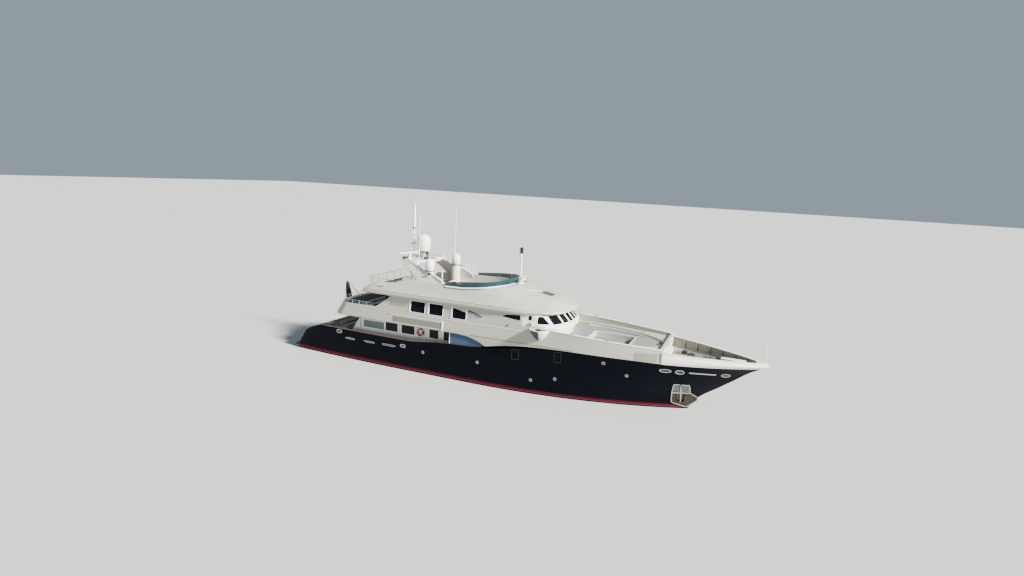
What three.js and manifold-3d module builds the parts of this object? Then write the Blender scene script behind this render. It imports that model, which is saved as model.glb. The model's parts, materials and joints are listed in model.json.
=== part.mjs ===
// Motor yacht with a raked stem, two full decks and an open sun deck, as a 1:2 scale model.
// Every size below is a full-size metre of the ship: the outermost group scales them to model millimetres.
// +X points to the bow, +Y to port and +Z up. The origin lies amidships on the centre line, at the waterline.

import * as THREE from 'three';
import { mergeVertices } from 'three/addons/utils/BufferGeometryUtils.js';
import Module from 'manifold-3d';

const wasm = await Module();
wasm.setup();

// Scale and clearances
const MODEL_MM = 500;
const GAP = 0.0006;
const RUN = 0.016;
const THROUGH = 6;

// Deck heights above the waterline
const MAIN_DECK = 2.4;
const UPPER_BOTTOM = 4.95;
const UPPER_DECK = 5.15;
const FORE_DECK = 5.6;
const LEDGE = 5.95;
const MOORING_DECK = 4.65;
const SUN_BOTTOM = 7.82;
const SUN_DECK = 8.05;

// Hull form
const SHEER_LEVEL = 5;
const STEM_HALF = 0.05;
const KEEL_HALF = 0.14;
const HULL_AFT = -25;
const HULL_FORE = 24.3;
const BREAK = 16.1;
const HOUSE_FRONT = -2.5;

// Stem profile: height, x
const STEM = [
  [-2.45, 13.6], [-1.8, 16.4], [-0.9, 17.8], [0, 18.4], [1.4, 19.4], [2.4, 20.75],
  [3.4, 22.1], [4.4, 23.4], [4.9, 24.3], [5.2, 25.0],
];
// Stern profile: height, x
const STERN = [
  [-0.6, -24.7], [0, -25.0], [0.3, -25.05], [0.95, -24.8], [1.7, -24.3], [2.3, -23.9], [2.65, -23.3],
  [3.05, -22.25], [3.3, -21.5], [3.4, -21.1],
];
// Keel line: x, height
const KEEL = [[-25, -0.35], [-20, -0.75], [-15, -1.55], [-9, -2.25], [0, -2.45]];
// Top edge of the dark hull: x, height
const SHEER = [
  [-25, 3.3], [-12, 3.3], [-8, 3.7], [-2, 4.0], [1.7, 4.6], [4, 4.85], [8, 5.0], [12, 5.0], [17, 4.9],
  [24.3, 4.9],
];

const clamp = THREE.MathUtils.clamp;
const lerp = THREE.MathUtils.lerp;

// Straight-line reading of one column of a table that is sorted by its first column
function read(table, at, column = 1) {
  const last = table.length - 1;
  if (at <= table[0][0]) return table[0][column];
  if (at >= table[last][0]) return table[last][column];
  const next = table.findIndex((row) => row[0] > at);
  const low = table[next - 1];
  const high = table[next];
  return lerp(low[column], high[column], (at - low[0]) / (high[0] - low[0]));
}

// Half-breadth of the hull at a place on its side
function halfBreadth(x, z) {
  const rise = clamp(z / SHEER_LEVEL, 0, 1);
  const shoulder = lerp(-4, 2, rise);
  const taper = clamp((x - shoulder) / (read(STEM, z) - shoulder), 0, 1);
  const quarter = clamp((-10 - x) / 14.5, 0, 1);
  let half = lerp(4.45, 4.65, rise) * (1 - taper ** lerp(2.4, 3, rise)) - 0.5 * quarter ** 2;
  if (z < 0) half *= (1 - clamp(z / read(KEEL, x), 0, 1) ** 2.4) ** 0.55;
  return Math.max(half, z < 0 ? KEEL_HALF * clamp((read(STEM, z) - x) / 2 + 0.36, 0.36, 1) : STEM_HALF);
}

// Solids

function toManifold(geometry) {
  const bare = new THREE.BufferGeometry();
  bare.setAttribute('position', geometry.getAttribute('position').clone());
  if (geometry.index) bare.setIndex(geometry.index.clone());
  const merged = mergeVertices(bare, 1e-5);
  const kept = [];
  const corners = merged.index.array;
  for (let i = 0; i < corners.length; i += 3) {
    const [a, b, c] = corners.slice(i, i + 3);
    if (a !== b && b !== c && c !== a) kept.push(a, b, c);
  }
  const vertProperties = new Float32Array(merged.getAttribute('position').array);
  const build = (list) => new wasm.Manifold(
    new wasm.Mesh({ numProp: 3, vertProperties, triVerts: new Uint32Array(list) }),
  );
  const solid = build(kept);
  return solid.volume() > 0 ? solid : build(kept.toReversed());
}

function toGeometry(solid) {
  const mesh = solid.getMesh();
  const geometry = new THREE.BufferGeometry();
  geometry.setAttribute('position', new THREE.BufferAttribute(new Float32Array(mesh.vertProperties), 3));
  geometry.setIndex(new THREE.BufferAttribute(new Uint32Array(mesh.triVerts), 1));
  geometry.computeVertexNormals();
  return geometry;
}

const join = (first, ...others) => others.reduce((sum, next) => sum.add(next), first);
const cut = (first, ...others) => others.reduce((rest, next) => rest.subtract(next), first);
// Largest body that is left after a cut
const largest = (solid) => solid.decompose().sort((a, b) => b.volume() - a.volume())[0];

// Body through closed rings of equal length, its ends closed by a strip across each end ring
function loft(rings) {
  const count = rings[0].length;
  const top = (rings.length - 1) * count;
  const index = [];
  const quad = (a, b, c, d) => index.push(a, b, c, a, c, d);
  for (let ring = 0; ring < top; ring += count) {
    for (let k = 0; k < count; k += 1) {
      const next = (k + 1) % count;
      quad(ring + k, ring + next, ring + count + next, ring + count + k);
    }
  }
  for (let k = 0; k < count / 2 - 1; k += 1) {
    quad(count - 1 - k, count - 2 - k, k + 1, k);
    quad(top + k, top + k + 1, top + count - 2 - k, top + count - 1 - k);
  }
  const geometry = new THREE.BufferGeometry();
  geometry.setAttribute('position', new THREE.Float32BufferAttribute(rings.flat(2), 3));
  geometry.setIndex(index);
  return toManifold(geometry);
}

// Ring of one station from the points of its port half, bottom to top
const bothSides = (half) => [...half.map(([x, y, z]) => [x, -y, z]), ...half.toReversed()];

function box(x0, x1, y0, y1, z0, z1) {
  const geometry = new THREE.BoxGeometry(x1 - x0, y1 - y0, z1 - z0);
  return toManifold(geometry.translate((x0 + x1) / 2, (y0 + y1) / 2, (z0 + z1) / 2));
}

function shapeOf(outline) {
  return new THREE.Shape(outline.map(([a, b]) => new THREE.Vector2(a, b)));
}

// Plates cut from an outline: seen from the side (x, z), from astern (y, z) and from above (x, y)
function sidePlate(outline, y0, y1) {
  const geometry = new THREE.ExtrudeGeometry(shapeOf(outline), { depth: y1 - y0, bevelEnabled: false });
  return toManifold(geometry.rotateX(Math.PI / 2).translate(0, y1, 0));
}

function deckPlate(outline, z0, z1) {
  const geometry = new THREE.ExtrudeGeometry(shapeOf(outline), { depth: z1 - z0, bevelEnabled: false });
  return toManifold(geometry.translate(0, 0, z0));
}

// Round bar between two points
function bar(from, to, radius, endRadius = radius, sides = 10) {
  const start = new THREE.Vector3(...from);
  const way = new THREE.Vector3(...to).sub(start);
  const geometry = new THREE.CylinderGeometry(endRadius, radius, way.length(), sides);
  geometry.translate(0, way.length() / 2, 0);
  const turn = new THREE.Quaternion().setFromUnitVectors(new THREE.Vector3(0, 1, 0), way.clone().normalize());
  geometry.applyQuaternion(turn);
  return toManifold(geometry.translate(...from));
}

// Turned body on an upright axis at (x, y): outline rows are radius, height
function turned(x, y, outline, sides = 16) {
  const profile = outline.map(([r, z]) => new THREE.Vector2(r, z));
  const geometry = new THREE.LatheGeometry(profile, sides);
  return toManifold(geometry.rotateX(Math.PI / 2).translate(x, y, 0));
}

// Plan outline from rows of x and half-breadth, port side and back along starboard
const planOutline = (rows) => [...rows, ...rows.toReversed().map(([x, y]) => [x, -y])];

const steps = (from, to, count) => Array.from({ length: count + 1 }, (_, i) => lerp(from, to, i / count));

const yacht = new THREE.Group();
yacht.scale.setScalar(MODEL_MM);

const look = (color, roughness, metalness = 0) => ({ color, roughness, metalness });
const WHITE = look('#e6e6e2', 0.35);
const NAVY = look('#0b1020', 0.2);
const STEEL = look('#b9bcc0', 0.3, 0.9);
const BRONZE = look('#9a7240', 0.4, 0.9);
const GLASS = look('#22323a', 0.1);
const TEAK = look('#a98b68', 0.7);
const CUSHION = look('#d8d4c8', 0.9);
const CLOTH = look('#5a1a2c', 0.9);

const pieces = {};

function add(name, solid, finish, position = [0, 0, 0]) {
  pieces[name] = solid;
  const mesh = new THREE.Mesh(toGeometry(solid), new THREE.MeshStandardMaterial(finish));
  mesh.name = name;
  mesh.position.set(...position);
  yacht.add(mesh);
}

// Piece trimmed to stand just clear on top of one that is there already
function stand(solid, support) {
  return largest(cut(solid, pieces[support].translate([0, 0, GAP]), pieces[support]));
}

// Sides of the ship: name ending, sign of y
const SIDES = [['stbd', -1], ['port', 1]];

// Hull

// Levels of a hull section: share of the keel's depth, then share of the sheer's height
const DEPTHS = [1, 0.94, 0.8, 0.55, 0.25];
const HEIGHTS = [0, 0.12, 0.3, 0.5, 0.7, 0.86, 1];

function hullBody(grow = 0) {
  const stations = steps(0, 1, 30).map((s) => 1 - (1 - s) ** 1.25);
  const rings = stations.map((s) => {
    const nominal = lerp(HULL_AFT, HULL_FORE, s);
    const keel = read(KEEL, nominal);
    const top = read(SHEER, nominal);
    const levels = [...DEPTHS.map((depth) => keel * depth), ...HEIGHTS.map((height) => top * height)];
    return bothSides(levels.map((z, i) => {
      const x = lerp(read(STERN, z), read(STEM, z), s);
      return [x, halfBreadth(x, z) + grow, i === levels.length - 1 ? z + grow : z];
    }));
  });
  return loft(rings);
}

// Room inside the shell of the hull or bulwark, above a floor
function innerRoom(xs, floor, ceiling, wall, half = halfBreadth) {
  return loft(xs.map((x) => bothSides([
    [x, half(x, floor) - wall, floor],
    [x, half(x, (floor + ceiling) / 2) - wall, (floor + ceiling) / 2],
    [x, half(x, ceiling) - wall, ceiling],
  ])));
}

const DECK_WELL = { aft: -20.8, wall: 0.16 };
const GARAGE = { aft: -25.3, fore: -19.6, half: 2.1, floor: 0.65, ceiling: 2.1 };
const STAIR = { aft: -25.3, inner: 2.5, outer: 3.5, rises: 8, low: 0.5 };
const RUDDER = { x: -21.4, y: 1.9, stock: 0.09, boreTop: -0.15, bladeTop: -0.86, bladeLow: -2.35 };

function stairWell(side) {
  const run = (DECK_WELL.aft - 0.2 - STAIR.aft) / STAIR.rises;
  const treads = Array.from({ length: STAIR.rises }, (_, i) => {
    const x = STAIR.aft + run * i;
    const z = lerp(STAIR.low, MAIN_DECK, i / (STAIR.rises - 1));
    const ys = [side * STAIR.inner, side * STAIR.outer].sort((a, b) => a - b);
    return box(x, x + run + 0.2, ...ys, z, THROUGH);
  });
  return join(...treads);
}

function hull() {
  const bore = RUDDER.stock + RUN;
  const bores = SIDES.map(([, side]) => bar(
    [RUDDER.x, side * RUDDER.y, -THROUGH], [RUDDER.x, side * RUDDER.y, RUDDER.boreTop], bore, bore, 16,
  ));
  return cut(
    hullBody(),
    innerRoom([DECK_WELL.aft, -18, -15, -12, -9, -6, HOUSE_FRONT], MAIN_DECK, THROUGH, DECK_WELL.wall),
    innerRoom([BREAK + 0.2, 18, 20, 21.5, 22.6, 23.4], MOORING_DECK, THROUGH, 0.14),
    box(GARAGE.aft, GARAGE.fore, -GARAGE.half, GARAGE.half, GARAGE.floor, GARAGE.ceiling),
    ...SIDES.map(([, side]) => stairWell(side)),
    ...bores,
  );
}

const hullClearance = join(...[-GAP, 0, 3 * GAP].map((shift) => hullBody(GAP).translate([shift, 0, 0])));
add('hull', hull(), NAVY);

// Garage door in the transom, turning up about its top edge
const transomX = (z) => read(STERN, z);
const DOOR = {
  low: GARAGE.floor + 0.02, top: GARAGE.ceiling - 0.02, bevel: 0.055, thick: 0.14, pin: 0.02 - GAP,
};
const DOOR_HINGE_X = transomX(DOOR.top) + 0.03;

function transomDoor() {
  const leaf = sidePlate([
    [transomX(DOOR.low), DOOR.low], [transomX(DOOR.low) + DOOR.thick, DOOR.low],
    [transomX(DOOR.top) + DOOR.thick, DOOR.top], [DOOR_HINGE_X, DOOR.top],
    [transomX(DOOR.top - DOOR.bevel), DOOR.top - DOOR.bevel],
  ], -GARAGE.half + RUN, GARAGE.half - RUN);
  const pins = [-1.5, 1.5].map((y) => bar(
    [DOOR_HINGE_X, y - 0.2, DOOR.top], [DOOR_HINGE_X, y + 0.2, DOOR.top], DOOR.pin, DOOR.pin, 16,
  ));
  return join(leaf, ...pins);
}
add('transom_door', transomDoor(), NAVY);

// Swim platform
const PLATFORM = [[-26.1, 2.3], [-26.0, 3.1], [-25.7, 3.6], [-25.2, 3.85], [-23.5, 3.9]];
add('swim_platform', cut(deckPlate(planOutline(PLATFORM), 0.16, 0.32), hullClearance), TEAK);

// Propellers, their shaft bossings and the rudders
const SHAFT = { y: 1.9, z: -1.62, radius: 0.13, aft: -19.8, fore: -9 };
const PROPELLER = { radius: 0.78, blades: 5, hub: 0.17, length: 0.42 };

function bossing(side) {
  const y = side * SHAFT.y;
  const tube = bar([SHAFT.aft, y, SHAFT.z], [SHAFT.fore, y, SHAFT.z], SHAFT.radius);
  const arms = [-0.55, 0.55].map((spread) => loft([[y, SHAFT.z], [y + spread, 0.2]].map(([at, z]) => [
    [-19.65, at - 0.04, z], [-19.2, at - 0.04, z], [-19.2, at + 0.04, z], [-19.65, at + 0.04, z],
  ])));
  const barrel = bar([SHAFT.aft, y, SHAFT.z], [-19, y, SHAFT.z], SHAFT.radius + 0.05);
  return largest(cut(join(tube, barrel, ...arms), hullClearance));
}

function propeller(side) {
  const blades = Array.from({ length: PROPELLER.blades }, (_, i) => {
    const turn = (i / PROPELLER.blades) * 2 * Math.PI;
    // Blade sections: share of the radius, chord, pitch angle
    const sections = [[0.15, 0.2, 1.0], [0.5, 0.42, 0.7], [0.85, 0.4, 0.5], [1, 0.12, 0.42]];
    return loft(sections.map(([share, chord, pitch]) => {
      const r = share * PROPELLER.radius;
      return [[-0.5, -1], [0.5, -1], [0.5, 1], [-0.5, 1]].map(([along, face]) => {
        const x = chord * along * Math.sin(pitch) + 0.012 * face;
        const swing = side * (chord * along * Math.cos(pitch)) / Math.max(r, 0.2);
        return [x, r * Math.cos(turn + swing), r * Math.sin(turn + swing)];
      });
    }));
  });
  const end = PROPELLER.length / 2;
  const hub = bar([-end, 0, 0], [end, 0, 0], PROPELLER.hub * 0.7, PROPELLER.hub, 12);
  return join(hub, ...blades);
}

function rudder() {
  // Blade outline: x from the stock, height
  const blade = sidePlate([
    [-0.75, RUDDER.bladeTop], [-0.62, RUDDER.bladeLow], [0.3, RUDDER.bladeLow], [0.36, RUDDER.bladeTop],
  ], -0.08, 0.08);
  const stock = bar([0, 0, RUDDER.bladeTop - 0.2], [0, 0, RUDDER.boreTop - GAP], RUDDER.stock, undefined, 16);
  return join(blade, stock);
}

for (const [name, side] of SIDES) {
  add(`shaft_bossing_${name}`, bossing(side), BRONZE);
  const hubX = SHAFT.aft - GAP - PROPELLER.length / 2;
  add(`propeller_${name}`, propeller(side), BRONZE, [hubX, side * SHAFT.y, SHAFT.z]);
  add(`rudder_${name}`, rudder(), NAVY, [RUDDER.x, side * RUDDER.y, 0]);
}

// Anchors stowed on bright plates at the bow
const PLATE_THICK = 0.05;

// Sheet of even thickness on the hull's side, inside an outline of x and height
function hullSkin(outline, side, thick) {
  const reach = [side * 0.06, side * THROUGH].sort((a, b) => a - b);
  return largest(cut(hullBody(thick).intersect(sidePlate(outline, ...reach)), hullClearance));
}

// Plate outline: x, height
const PLATE_OUTLINE = [[17.05, 0.7], [18.2, 0.24], [19.3, 1.15], [18.85, 2.8], [17.1, 2.8]];

function anchor(side) {
  const middle = 17.8;
  const at = (x, z, out) => [x, side * (halfBreadth(x, z) + PLATE_THICK + out), z];
  const shank = bar(at(middle, 2.85, 0.12), at(middle, 1.25, 0.12), 0.09, 0.12, 8);
  const crown = bar(at(middle - 0.45, 1.3, 0.14), at(middle + 0.45, 1.3, 0.14), 0.13, undefined, 8);
  const flukes = [-0.42, 0.42].map((dx) => (
    bar(at(middle + dx, 1.3, 0.14), at(middle + dx * 1.3, 2.3, 0.14), 0.13, 0.03, 6)
  ));
  return join(shank, crown, ...flukes);
}

for (const [name, side] of SIDES) {
  add(`anchor_plate_${name}`, hullSkin(PLATE_OUTLINE, side, PLATE_THICK), STEEL);
  add(`anchor_${name}`, largest(cut(anchor(side), hullBody(PLATE_THICK + GAP))), STEEL);
}

// Upper shell: the pale band round the upper deck, the sides of the upper house and the foredeck bulwark

// Top edge: x, height
const SHELL_TOP = [
  [-20.3, 6.3], [-14.0, 6.38], [-13.6, 6.6], [-11.9, SUN_BOTTOM - GAP], [2.9, SUN_BOTTOM - GAP], [2.91, 6.72],
  [7.5, 6.65], [BREAK, 6.2],
];
// Lower edge: x, height
const SHELL_LOW = [[-20.3, 4.95], [-2.4, 4.95], [-2.0, 4.82], [-1.5, 4.5], [-1.1, 3.95]];
const SHELL_LAP = 0.15;
const SHELL_STATIONS = [
  -20.3, -20.15, -19.9, -19.5, -19, -18.4, -17.2, -16, -14, -13.6, -11.9, -10, -2.4, -2, -1.5, -1.1, 1.7, 2.9,
  2.91, 4, 5.5, 8, 9.3, 10.6, 12, 13.5, 15, BREAK,
];
const SHELL_WALL = 0.15;
// Rounded aft end of the shell: x, share of the half-breadth
const SHELL_END = [
  [-20.3, 0.18], [-20.15, 0.46], [-19.9, 0.68], [-19.5, 0.86], [-19, 0.965], [-18.4, 1],
];
// Forward rake of the shell's aft end for each metre of height
const shellRake = (x) => 0.57 * clamp((-16 - x) / 3, 0, 1);

function shellHalf(x, z) {
  const share = read(SHELL_END, x);
  const lean = lerp(0.13, 0.03, clamp((x - 3) / 5, 0, 1));
  if (z < SHEER_LEVEL) return halfBreadth(x, z) * share;
  return (halfBreadth(x, SHEER_LEVEL) - lean * (z - SHEER_LEVEL)) * share;
}

function shellBody(grow = 0) {
  return loft(SHELL_STATIONS.map((x) => {
    // Where the shell stands on the hull, its lap behind the hull's edge is cut away afterwards
    const onHull = x > -1.2;
    const low = onHull ? read(SHEER, x) : read(SHELL_LOW, x);
    const levels = (onHull ? [0, 0.5] : [0.3, 0.7]).map((share) => lerp(low, SHEER_LEVEL, share));
    const side = [...levels, Math.max(SHEER_LEVEL, low + 0.02), read(SHELL_TOP, x) + grow].map((z) => (
      [x + shellRake(x) * (z - UPPER_BOTTOM), shellHalf(x, z) + grow, z]
    ));
    const lap = onHull ? SHELL_LAP : 0;
    return bothSides([[x, shellHalf(x, low) + grow - lap, low - lap], ...side]);
  }));
}

// Half-breadth at a place on the shell's raked side
function rakedHalf(x, z) {
  let station = x;
  for (let pass = 0; pass < 5; pass += 1) station = x - shellRake(station) * (z - UPPER_BOTTOM);
  return shellHalf(station, z);
}

// Windows of the upper house: aft x, fore x, low height, high height
const UPPER_WINDOWS = [[-9.55, -7.85, 6.45, 7.58], [-7.35, -5.75, 6.45, 7.58], [-4.65, -3.1, 6.45, 7.52]];
const WINDOW_DARTS = [
  [[-2.95, 6.5], [-1.3, 6.98], [-2.95, 7.46]],
  [[0.72, 7.38], [2.68, 7.2], [2.68, 7.7], [1.2, 7.6]],
];
const LOUVRE = { aft: -11.6, fore: -5.8, low: 5.2, high: 5.75, deep: 0.05 };
const TENDER_WELL = { aft: 8.6, fore: 12.6, half: 1.8, floor: 5.05 };
// Foredeck: x, half-breadth of the deck inside its rounded ledge
const FORE_DECK_PLAN = [
  [2.9, 4.2], [8.5, 3.95], [11, 3.45], [13, 2.75], [14.5, 1.9], [15.4, 1.0], [15.7, 0.35],
];

// Stations of the hollow inside the shell and of the one inside the foredeck bulwark
const UPPER_ROOM_STATIONS = [-18.75, -18.5, -18.1, -17.4, -16, -14, -12, -10, 2.75];
const FORE_ROOM_STATIONS = [2.91, 4, 5.5, 7.5, 9, 10.5, 12, 13.5, 15, 15.85];

const BULKHEAD = { aft: -12.4, thick: 0.12 };
const DOORWAY = { half: 0.95, high: 2.1 };

// Aft wall of the upper house with its doorway
function upperBulkhead() {
  const ends = [BULKHEAD.aft, BULKHEAD.aft + BULKHEAD.thick];
  return cut(
    innerRoom(ends, UPPER_DECK - 0.03, 7.3, SHELL_WALL - 0.03, shellHalf),
    box(-THROUGH * 3, 0, -DOORWAY.half, DOORWAY.half, UPPER_DECK, UPPER_DECK + DOORWAY.high),
  );
}

function upperShell() {
  const louvres = SIDES.map(([, side]) => {
    const ys = [side * (4.65 - LOUVRE.deep), side * THROUGH].sort((a, b) => a - b);
    return box(LOUVRE.aft, LOUVRE.fore, ...ys, LOUVRE.low, LOUVRE.high);
  });
  const shell = cut(
    shellBody(),
    innerRoom(UPPER_ROOM_STATIONS, UPPER_DECK, THROUGH + 3, SHELL_WALL, rakedHalf),
    innerRoom(FORE_ROOM_STATIONS, LEDGE, THROUGH + 3, SHELL_WALL, shellHalf),
    deckPlate(planOutline(FORE_DECK_PLAN), FORE_DECK, THROUGH),
    box(TENDER_WELL.aft, TENDER_WELL.fore, -TENDER_WELL.half, TENDER_WELL.half, TENDER_WELL.floor, THROUGH),
    ...UPPER_WINDOWS.map(([aft, fore, low, high]) => box(aft, fore, -THROUGH, THROUGH, low, high)),
    ...WINDOW_DARTS.map((dart) => sidePlate(dart, -THROUGH, THROUGH)),
    ...louvres,
    hullClearance,
  );
  return largest(join(shell, upperBulkhead()));
}
const shellClearance = shellBody(GAP);
add('upper_shell', upperShell(), WHITE);

function strip(side, aft, fore, low, high, wall) {
  const ring = (x) => [low, high].flatMap((z, level) => {
    const pair = [GAP, 0.035].map((inset) => [x, side * (shellHalf(x, z) - wall - inset), z]);
    return level ? pair.toReversed() : pair;
  });
  return loft([ring(aft), ring(fore)]);
}
for (const [name, side] of SIDES) {
  add(`upper_glass_${name}`, strip(side, -9.7, 2.73, 6.4, 7.76, SHELL_WALL), GLASS);
}

// Main-deck house, its windows, and the glass screens in the ends of the side decks
const MAIN_HOUSE = { aft: -16.3, fore: HOUSE_FRONT - GAP, half: 3.8, wall: 0.12 };
// Main-deck windows: aft x, fore x, low height, high height
const MAIN_WINDOWS = [
  [-15.9, -13.2, 3.8, 4.6], [-13, -11.5, 3.8, 4.7], [-11, -9.4, 3.8, 4.7], [-7.6, -6.5, 3.8, 4.7],
  [-5.9, -4.8, 3.8, 4.7],
];

// Wing walls abaft the house: x, height
const HOUSE_WING = [
  [-17.95, MAIN_DECK + GAP], [MAIN_HOUSE.aft + 0.1, MAIN_DECK + GAP],
  [MAIN_HOUSE.aft + 0.1, UPPER_BOTTOM - GAP],
  [MAIN_HOUSE.aft + 0.05, UPPER_BOTTOM - GAP],
];

function mainHouse() {
  const { aft, fore, half, wall } = MAIN_HOUSE;
  const wings = SIDES.map(([, side]) => (
    sidePlate(HOUSE_WING, ...[side * half, side * (half - wall)].sort((a, b) => a - b))
  ));
  const house = cut(
    box(aft, fore, -half, half, MAIN_DECK + GAP, UPPER_BOTTOM - GAP),
    box(aft + wall, fore - wall, wall - half, half - wall, 0, THROUGH),
    box(aft - 1, aft + 1, -DOORWAY.half, DOORWAY.half, 0, MAIN_DECK + DOORWAY.high),
    ...MAIN_WINDOWS.map(([x0, x1, low, high]) => box(x0, x1, -THROUGH, THROUGH, low, high)),
  );
  return join(house, ...wings);
}
add('main_house', mainHouse(), WHITE);

const SCREEN = { y: 4.57, thick: 0.03, aft: -4.8, fore: -1.15 };
for (const [name, side] of SIDES) {
  const inner = MAIN_HOUSE.half - MAIN_HOUSE.wall - GAP;
  const pane = [side * inner, side * (inner - 0.03)].sort((a, b) => a - b);
  add(`main_glass_${name}`, box(-16.05, -4.6, ...pane, 3.75, 4.75), GLASS);
  const edge = [side * SCREEN.y, side * (SCREEN.y + SCREEN.thick)].sort((a, b) => a - b);
  add(`side_screen_${name}`, largest(cut(
    box(SCREEN.aft, SCREEN.fore, ...edge, 3.6, UPPER_BOTTOM - GAP),
    hullClearance,
    shellBody().translate([-GAP, 0, -GAP]),
    shellBody(),
  )), GLASS);
}

// Sliding door leaves: name, bulkhead's inner face, floor
function doorLeaf(inner, floor, side) {
  const ys = [side * 0.01, side * (DOORWAY.half + 0.06)].sort((a, b) => a - b);
  return box(inner + RUN, inner + RUN + 0.05, ...ys, floor + GAP, floor + DOORWAY.high + 0.08);
}
for (const [name, side] of SIDES) {
  add(`saloon_door_${name}`, doorLeaf(MAIN_HOUSE.aft + MAIN_HOUSE.wall, MAIN_DECK, side), GLASS);
}

// Sliding door leaves of the upper house
for (const [name, side] of SIDES) {
  add(`upper_door_${name}`, doorLeaf(BULKHEAD.aft + BULKHEAD.thick, UPPER_DECK, side), GLASS);
}

// Wheelhouse with its raked front windows

// Levels: height, x of the front at the centre line, half-breadth, x where the curved front begins
const WHEELHOUSE_LEVELS = [
  [FORE_DECK + GAP, 6.5, 4.06, 4.4], [6.45, 6.72, 4.1, 4.4], [6.56, 7.0, 4.15, 4.4], [6.84, 7.02, 4.15, 4.4],
  [6.92, 6.8, 4.13, 4.4], [SUN_BOTTOM - GAP, 5.95, 4.02, 3.68],
];
const WHEELHOUSE = { aft: 2.93, wall: 0.12 };
// Front windows of one side: angle round the curved front where each begins and ends
const FRONT_PANES = [[0.03, 0.23], [0.29, 0.53], [0.59, 0.97]];
const PANE = { low: 7.02, high: 7.76 };
const WHEELHOUSE_SIDE_PANE = [[4.35, 7.06], [5.5, 7.06], [4.75, 7.74], [4.35, 7.74]];
const WHEELHOUSE_SMALL_PANE = { aft: 3.4, fore: 3.77, low: 7.3, high: 7.72 };

function wheelhousePoint(angle, z, inset) {
  const shoulder = read(WHEELHOUSE_LEVELS, z, 3);
  const front = read(WHEELHOUSE_LEVELS, z) - shoulder - inset;
  const half = read(WHEELHOUSE_LEVELS, z, 2) - inset;
  return [shoulder + front * Math.cos(angle) ** 0.9, half * Math.sin(angle), z];
}

function wheelhouseRing(z, inset, aft = WHEELHOUSE.aft) {
  const port = steps(0, Math.PI / 2, 7).slice(0, 7).map((angle) => wheelhousePoint(angle + 0.06, z, inset));
  const half = read(WHEELHOUSE_LEVELS, z, 2) - inset;
  const rear = [[read(WHEELHOUSE_LEVELS, z, 3), half, z], [aft, half, z]];
  return [...port, ...rear, ...[...port, ...rear].toReversed().map(([x, y]) => [x, -y, z])];
}

function frontPane(from, to) {
  const corners = [[from, -0.5], [to, -0.5], [to, 0.5], [from, 0.5]];
  const ring = (z) => corners.map(([angle, inset]) => wheelhousePoint(angle, z, inset));
  return loft([ring(PANE.low), ring(PANE.high)]);
}

function wheelhouse() {
  const heights = WHEELHOUSE_LEVELS.map(([z]) => z);
  const inside = [FORE_DECK - 0.2, 6.45, 6.95, SUN_BOTTOM + 0.2];
  const small = WHEELHOUSE_SMALL_PANE;
  return cut(
    loft(heights.map((z) => wheelhouseRing(z, 0))),
    loft(inside.map((z) => wheelhouseRing(z, WHEELHOUSE.wall, WHEELHOUSE.aft + 0.1))),
    shellClearance.subtract(innerRoom(
      [2, 4, 5.5, 7.5, 9], FORE_DECK - 1, THROUGH + 3, SHELL_WALL + GAP, shellHalf,
    )),
    ...FRONT_PANES.flatMap(([from, to]) => [frontPane(from, to), frontPane(-to, -from)]),
    box(small.aft, small.fore, -THROUGH, THROUGH, small.low, small.high),
    sidePlate(WHEELHOUSE_SIDE_PANE, -THROUGH, THROUGH),
  );
}
add('wheelhouse', wheelhouse(), WHITE);

// Glass band inside the wheelhouse posts, open at its aft end
function wheelhouseGlass() {
  const outer = WHEELHOUSE.wall + GAP;
  const inner = outer + 0.03;
  const heights = [6.97, 7.79];
  return cut(
    loft(heights.map((z) => wheelhouseRing(z, outer, WHEELHOUSE.aft + 0.12))),
    loft([heights[0] - 0.1, heights[1] + 0.02].map((z) => wheelhouseRing(z, inner, WHEELHOUSE.aft - 1))),
  );
}
add('wheelhouse_glass', wheelhouseGlass(), GLASS);

// Helm console across the front of the wheelhouse
function helmConsole() {
  const desk = deckPlate(planOutline([[4.9, 1.9], [5.45, 1.7], [5.7, 0.9]]), FORE_DECK + GAP, 6.6);
  const seats = [-0.8, 0.8].map((y) => join(
    box(4.0, 4.6, y - 0.3, y + 0.3, FORE_DECK + 0.45, FORE_DECK + 0.6),
    box(3.95, 4.1, y - 0.3, y + 0.3, FORE_DECK + 0.45, FORE_DECK + 1.3),
    box(4.2, 4.4, y - 0.1, y + 0.1, FORE_DECK + GAP, FORE_DECK + 0.5),
  ));
  const plinth = box(3.9, 5.3, -1.2, 1.2, FORE_DECK + GAP, FORE_DECK + 0.06);
  return join(desk, plinth, ...seats);
}
add('helm_console', helmConsole(), look('#3a3532', 0.6));

// Wing control tubs on the sides of the wheelhouse
const TUB = { x: 4.75, top: 6.68, low: 5.55, radius: 1.0, wall: 0.08 };

function wingTub(side) {
  const outline = (inset) => [
    [0, TUB.low + 2 * inset], [0.3 - inset, TUB.low + 0.12 + inset], [0.72 - inset, 6.05],
    [TUB.radius - inset, TUB.top + 2 * inset], [0, TUB.top + 2 * inset],
  ];
  const centre = side * (shellHalf(TUB.x, TUB.top) - 0.1);
  const shell = cut(turned(TUB.x, centre, outline(0), 24), turned(TUB.x, centre, outline(TUB.wall), 24));
  const inboard = box(TUB.x - 2, TUB.x + 2, Math.min(0, centre), Math.max(0, centre), 5, 7);
  return largest(cut(shell, shellClearance, inboard));
}
for (const [name, side] of SIDES) add(`wing_tub_${name}`, wingTub(side), WHITE);

// Bulwark round the mooring deck and the bow
const BOW_TOP = [[BREAK, 5.95], [20, 5.72], [24.6, 5.46], [25, 5.42]];

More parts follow.
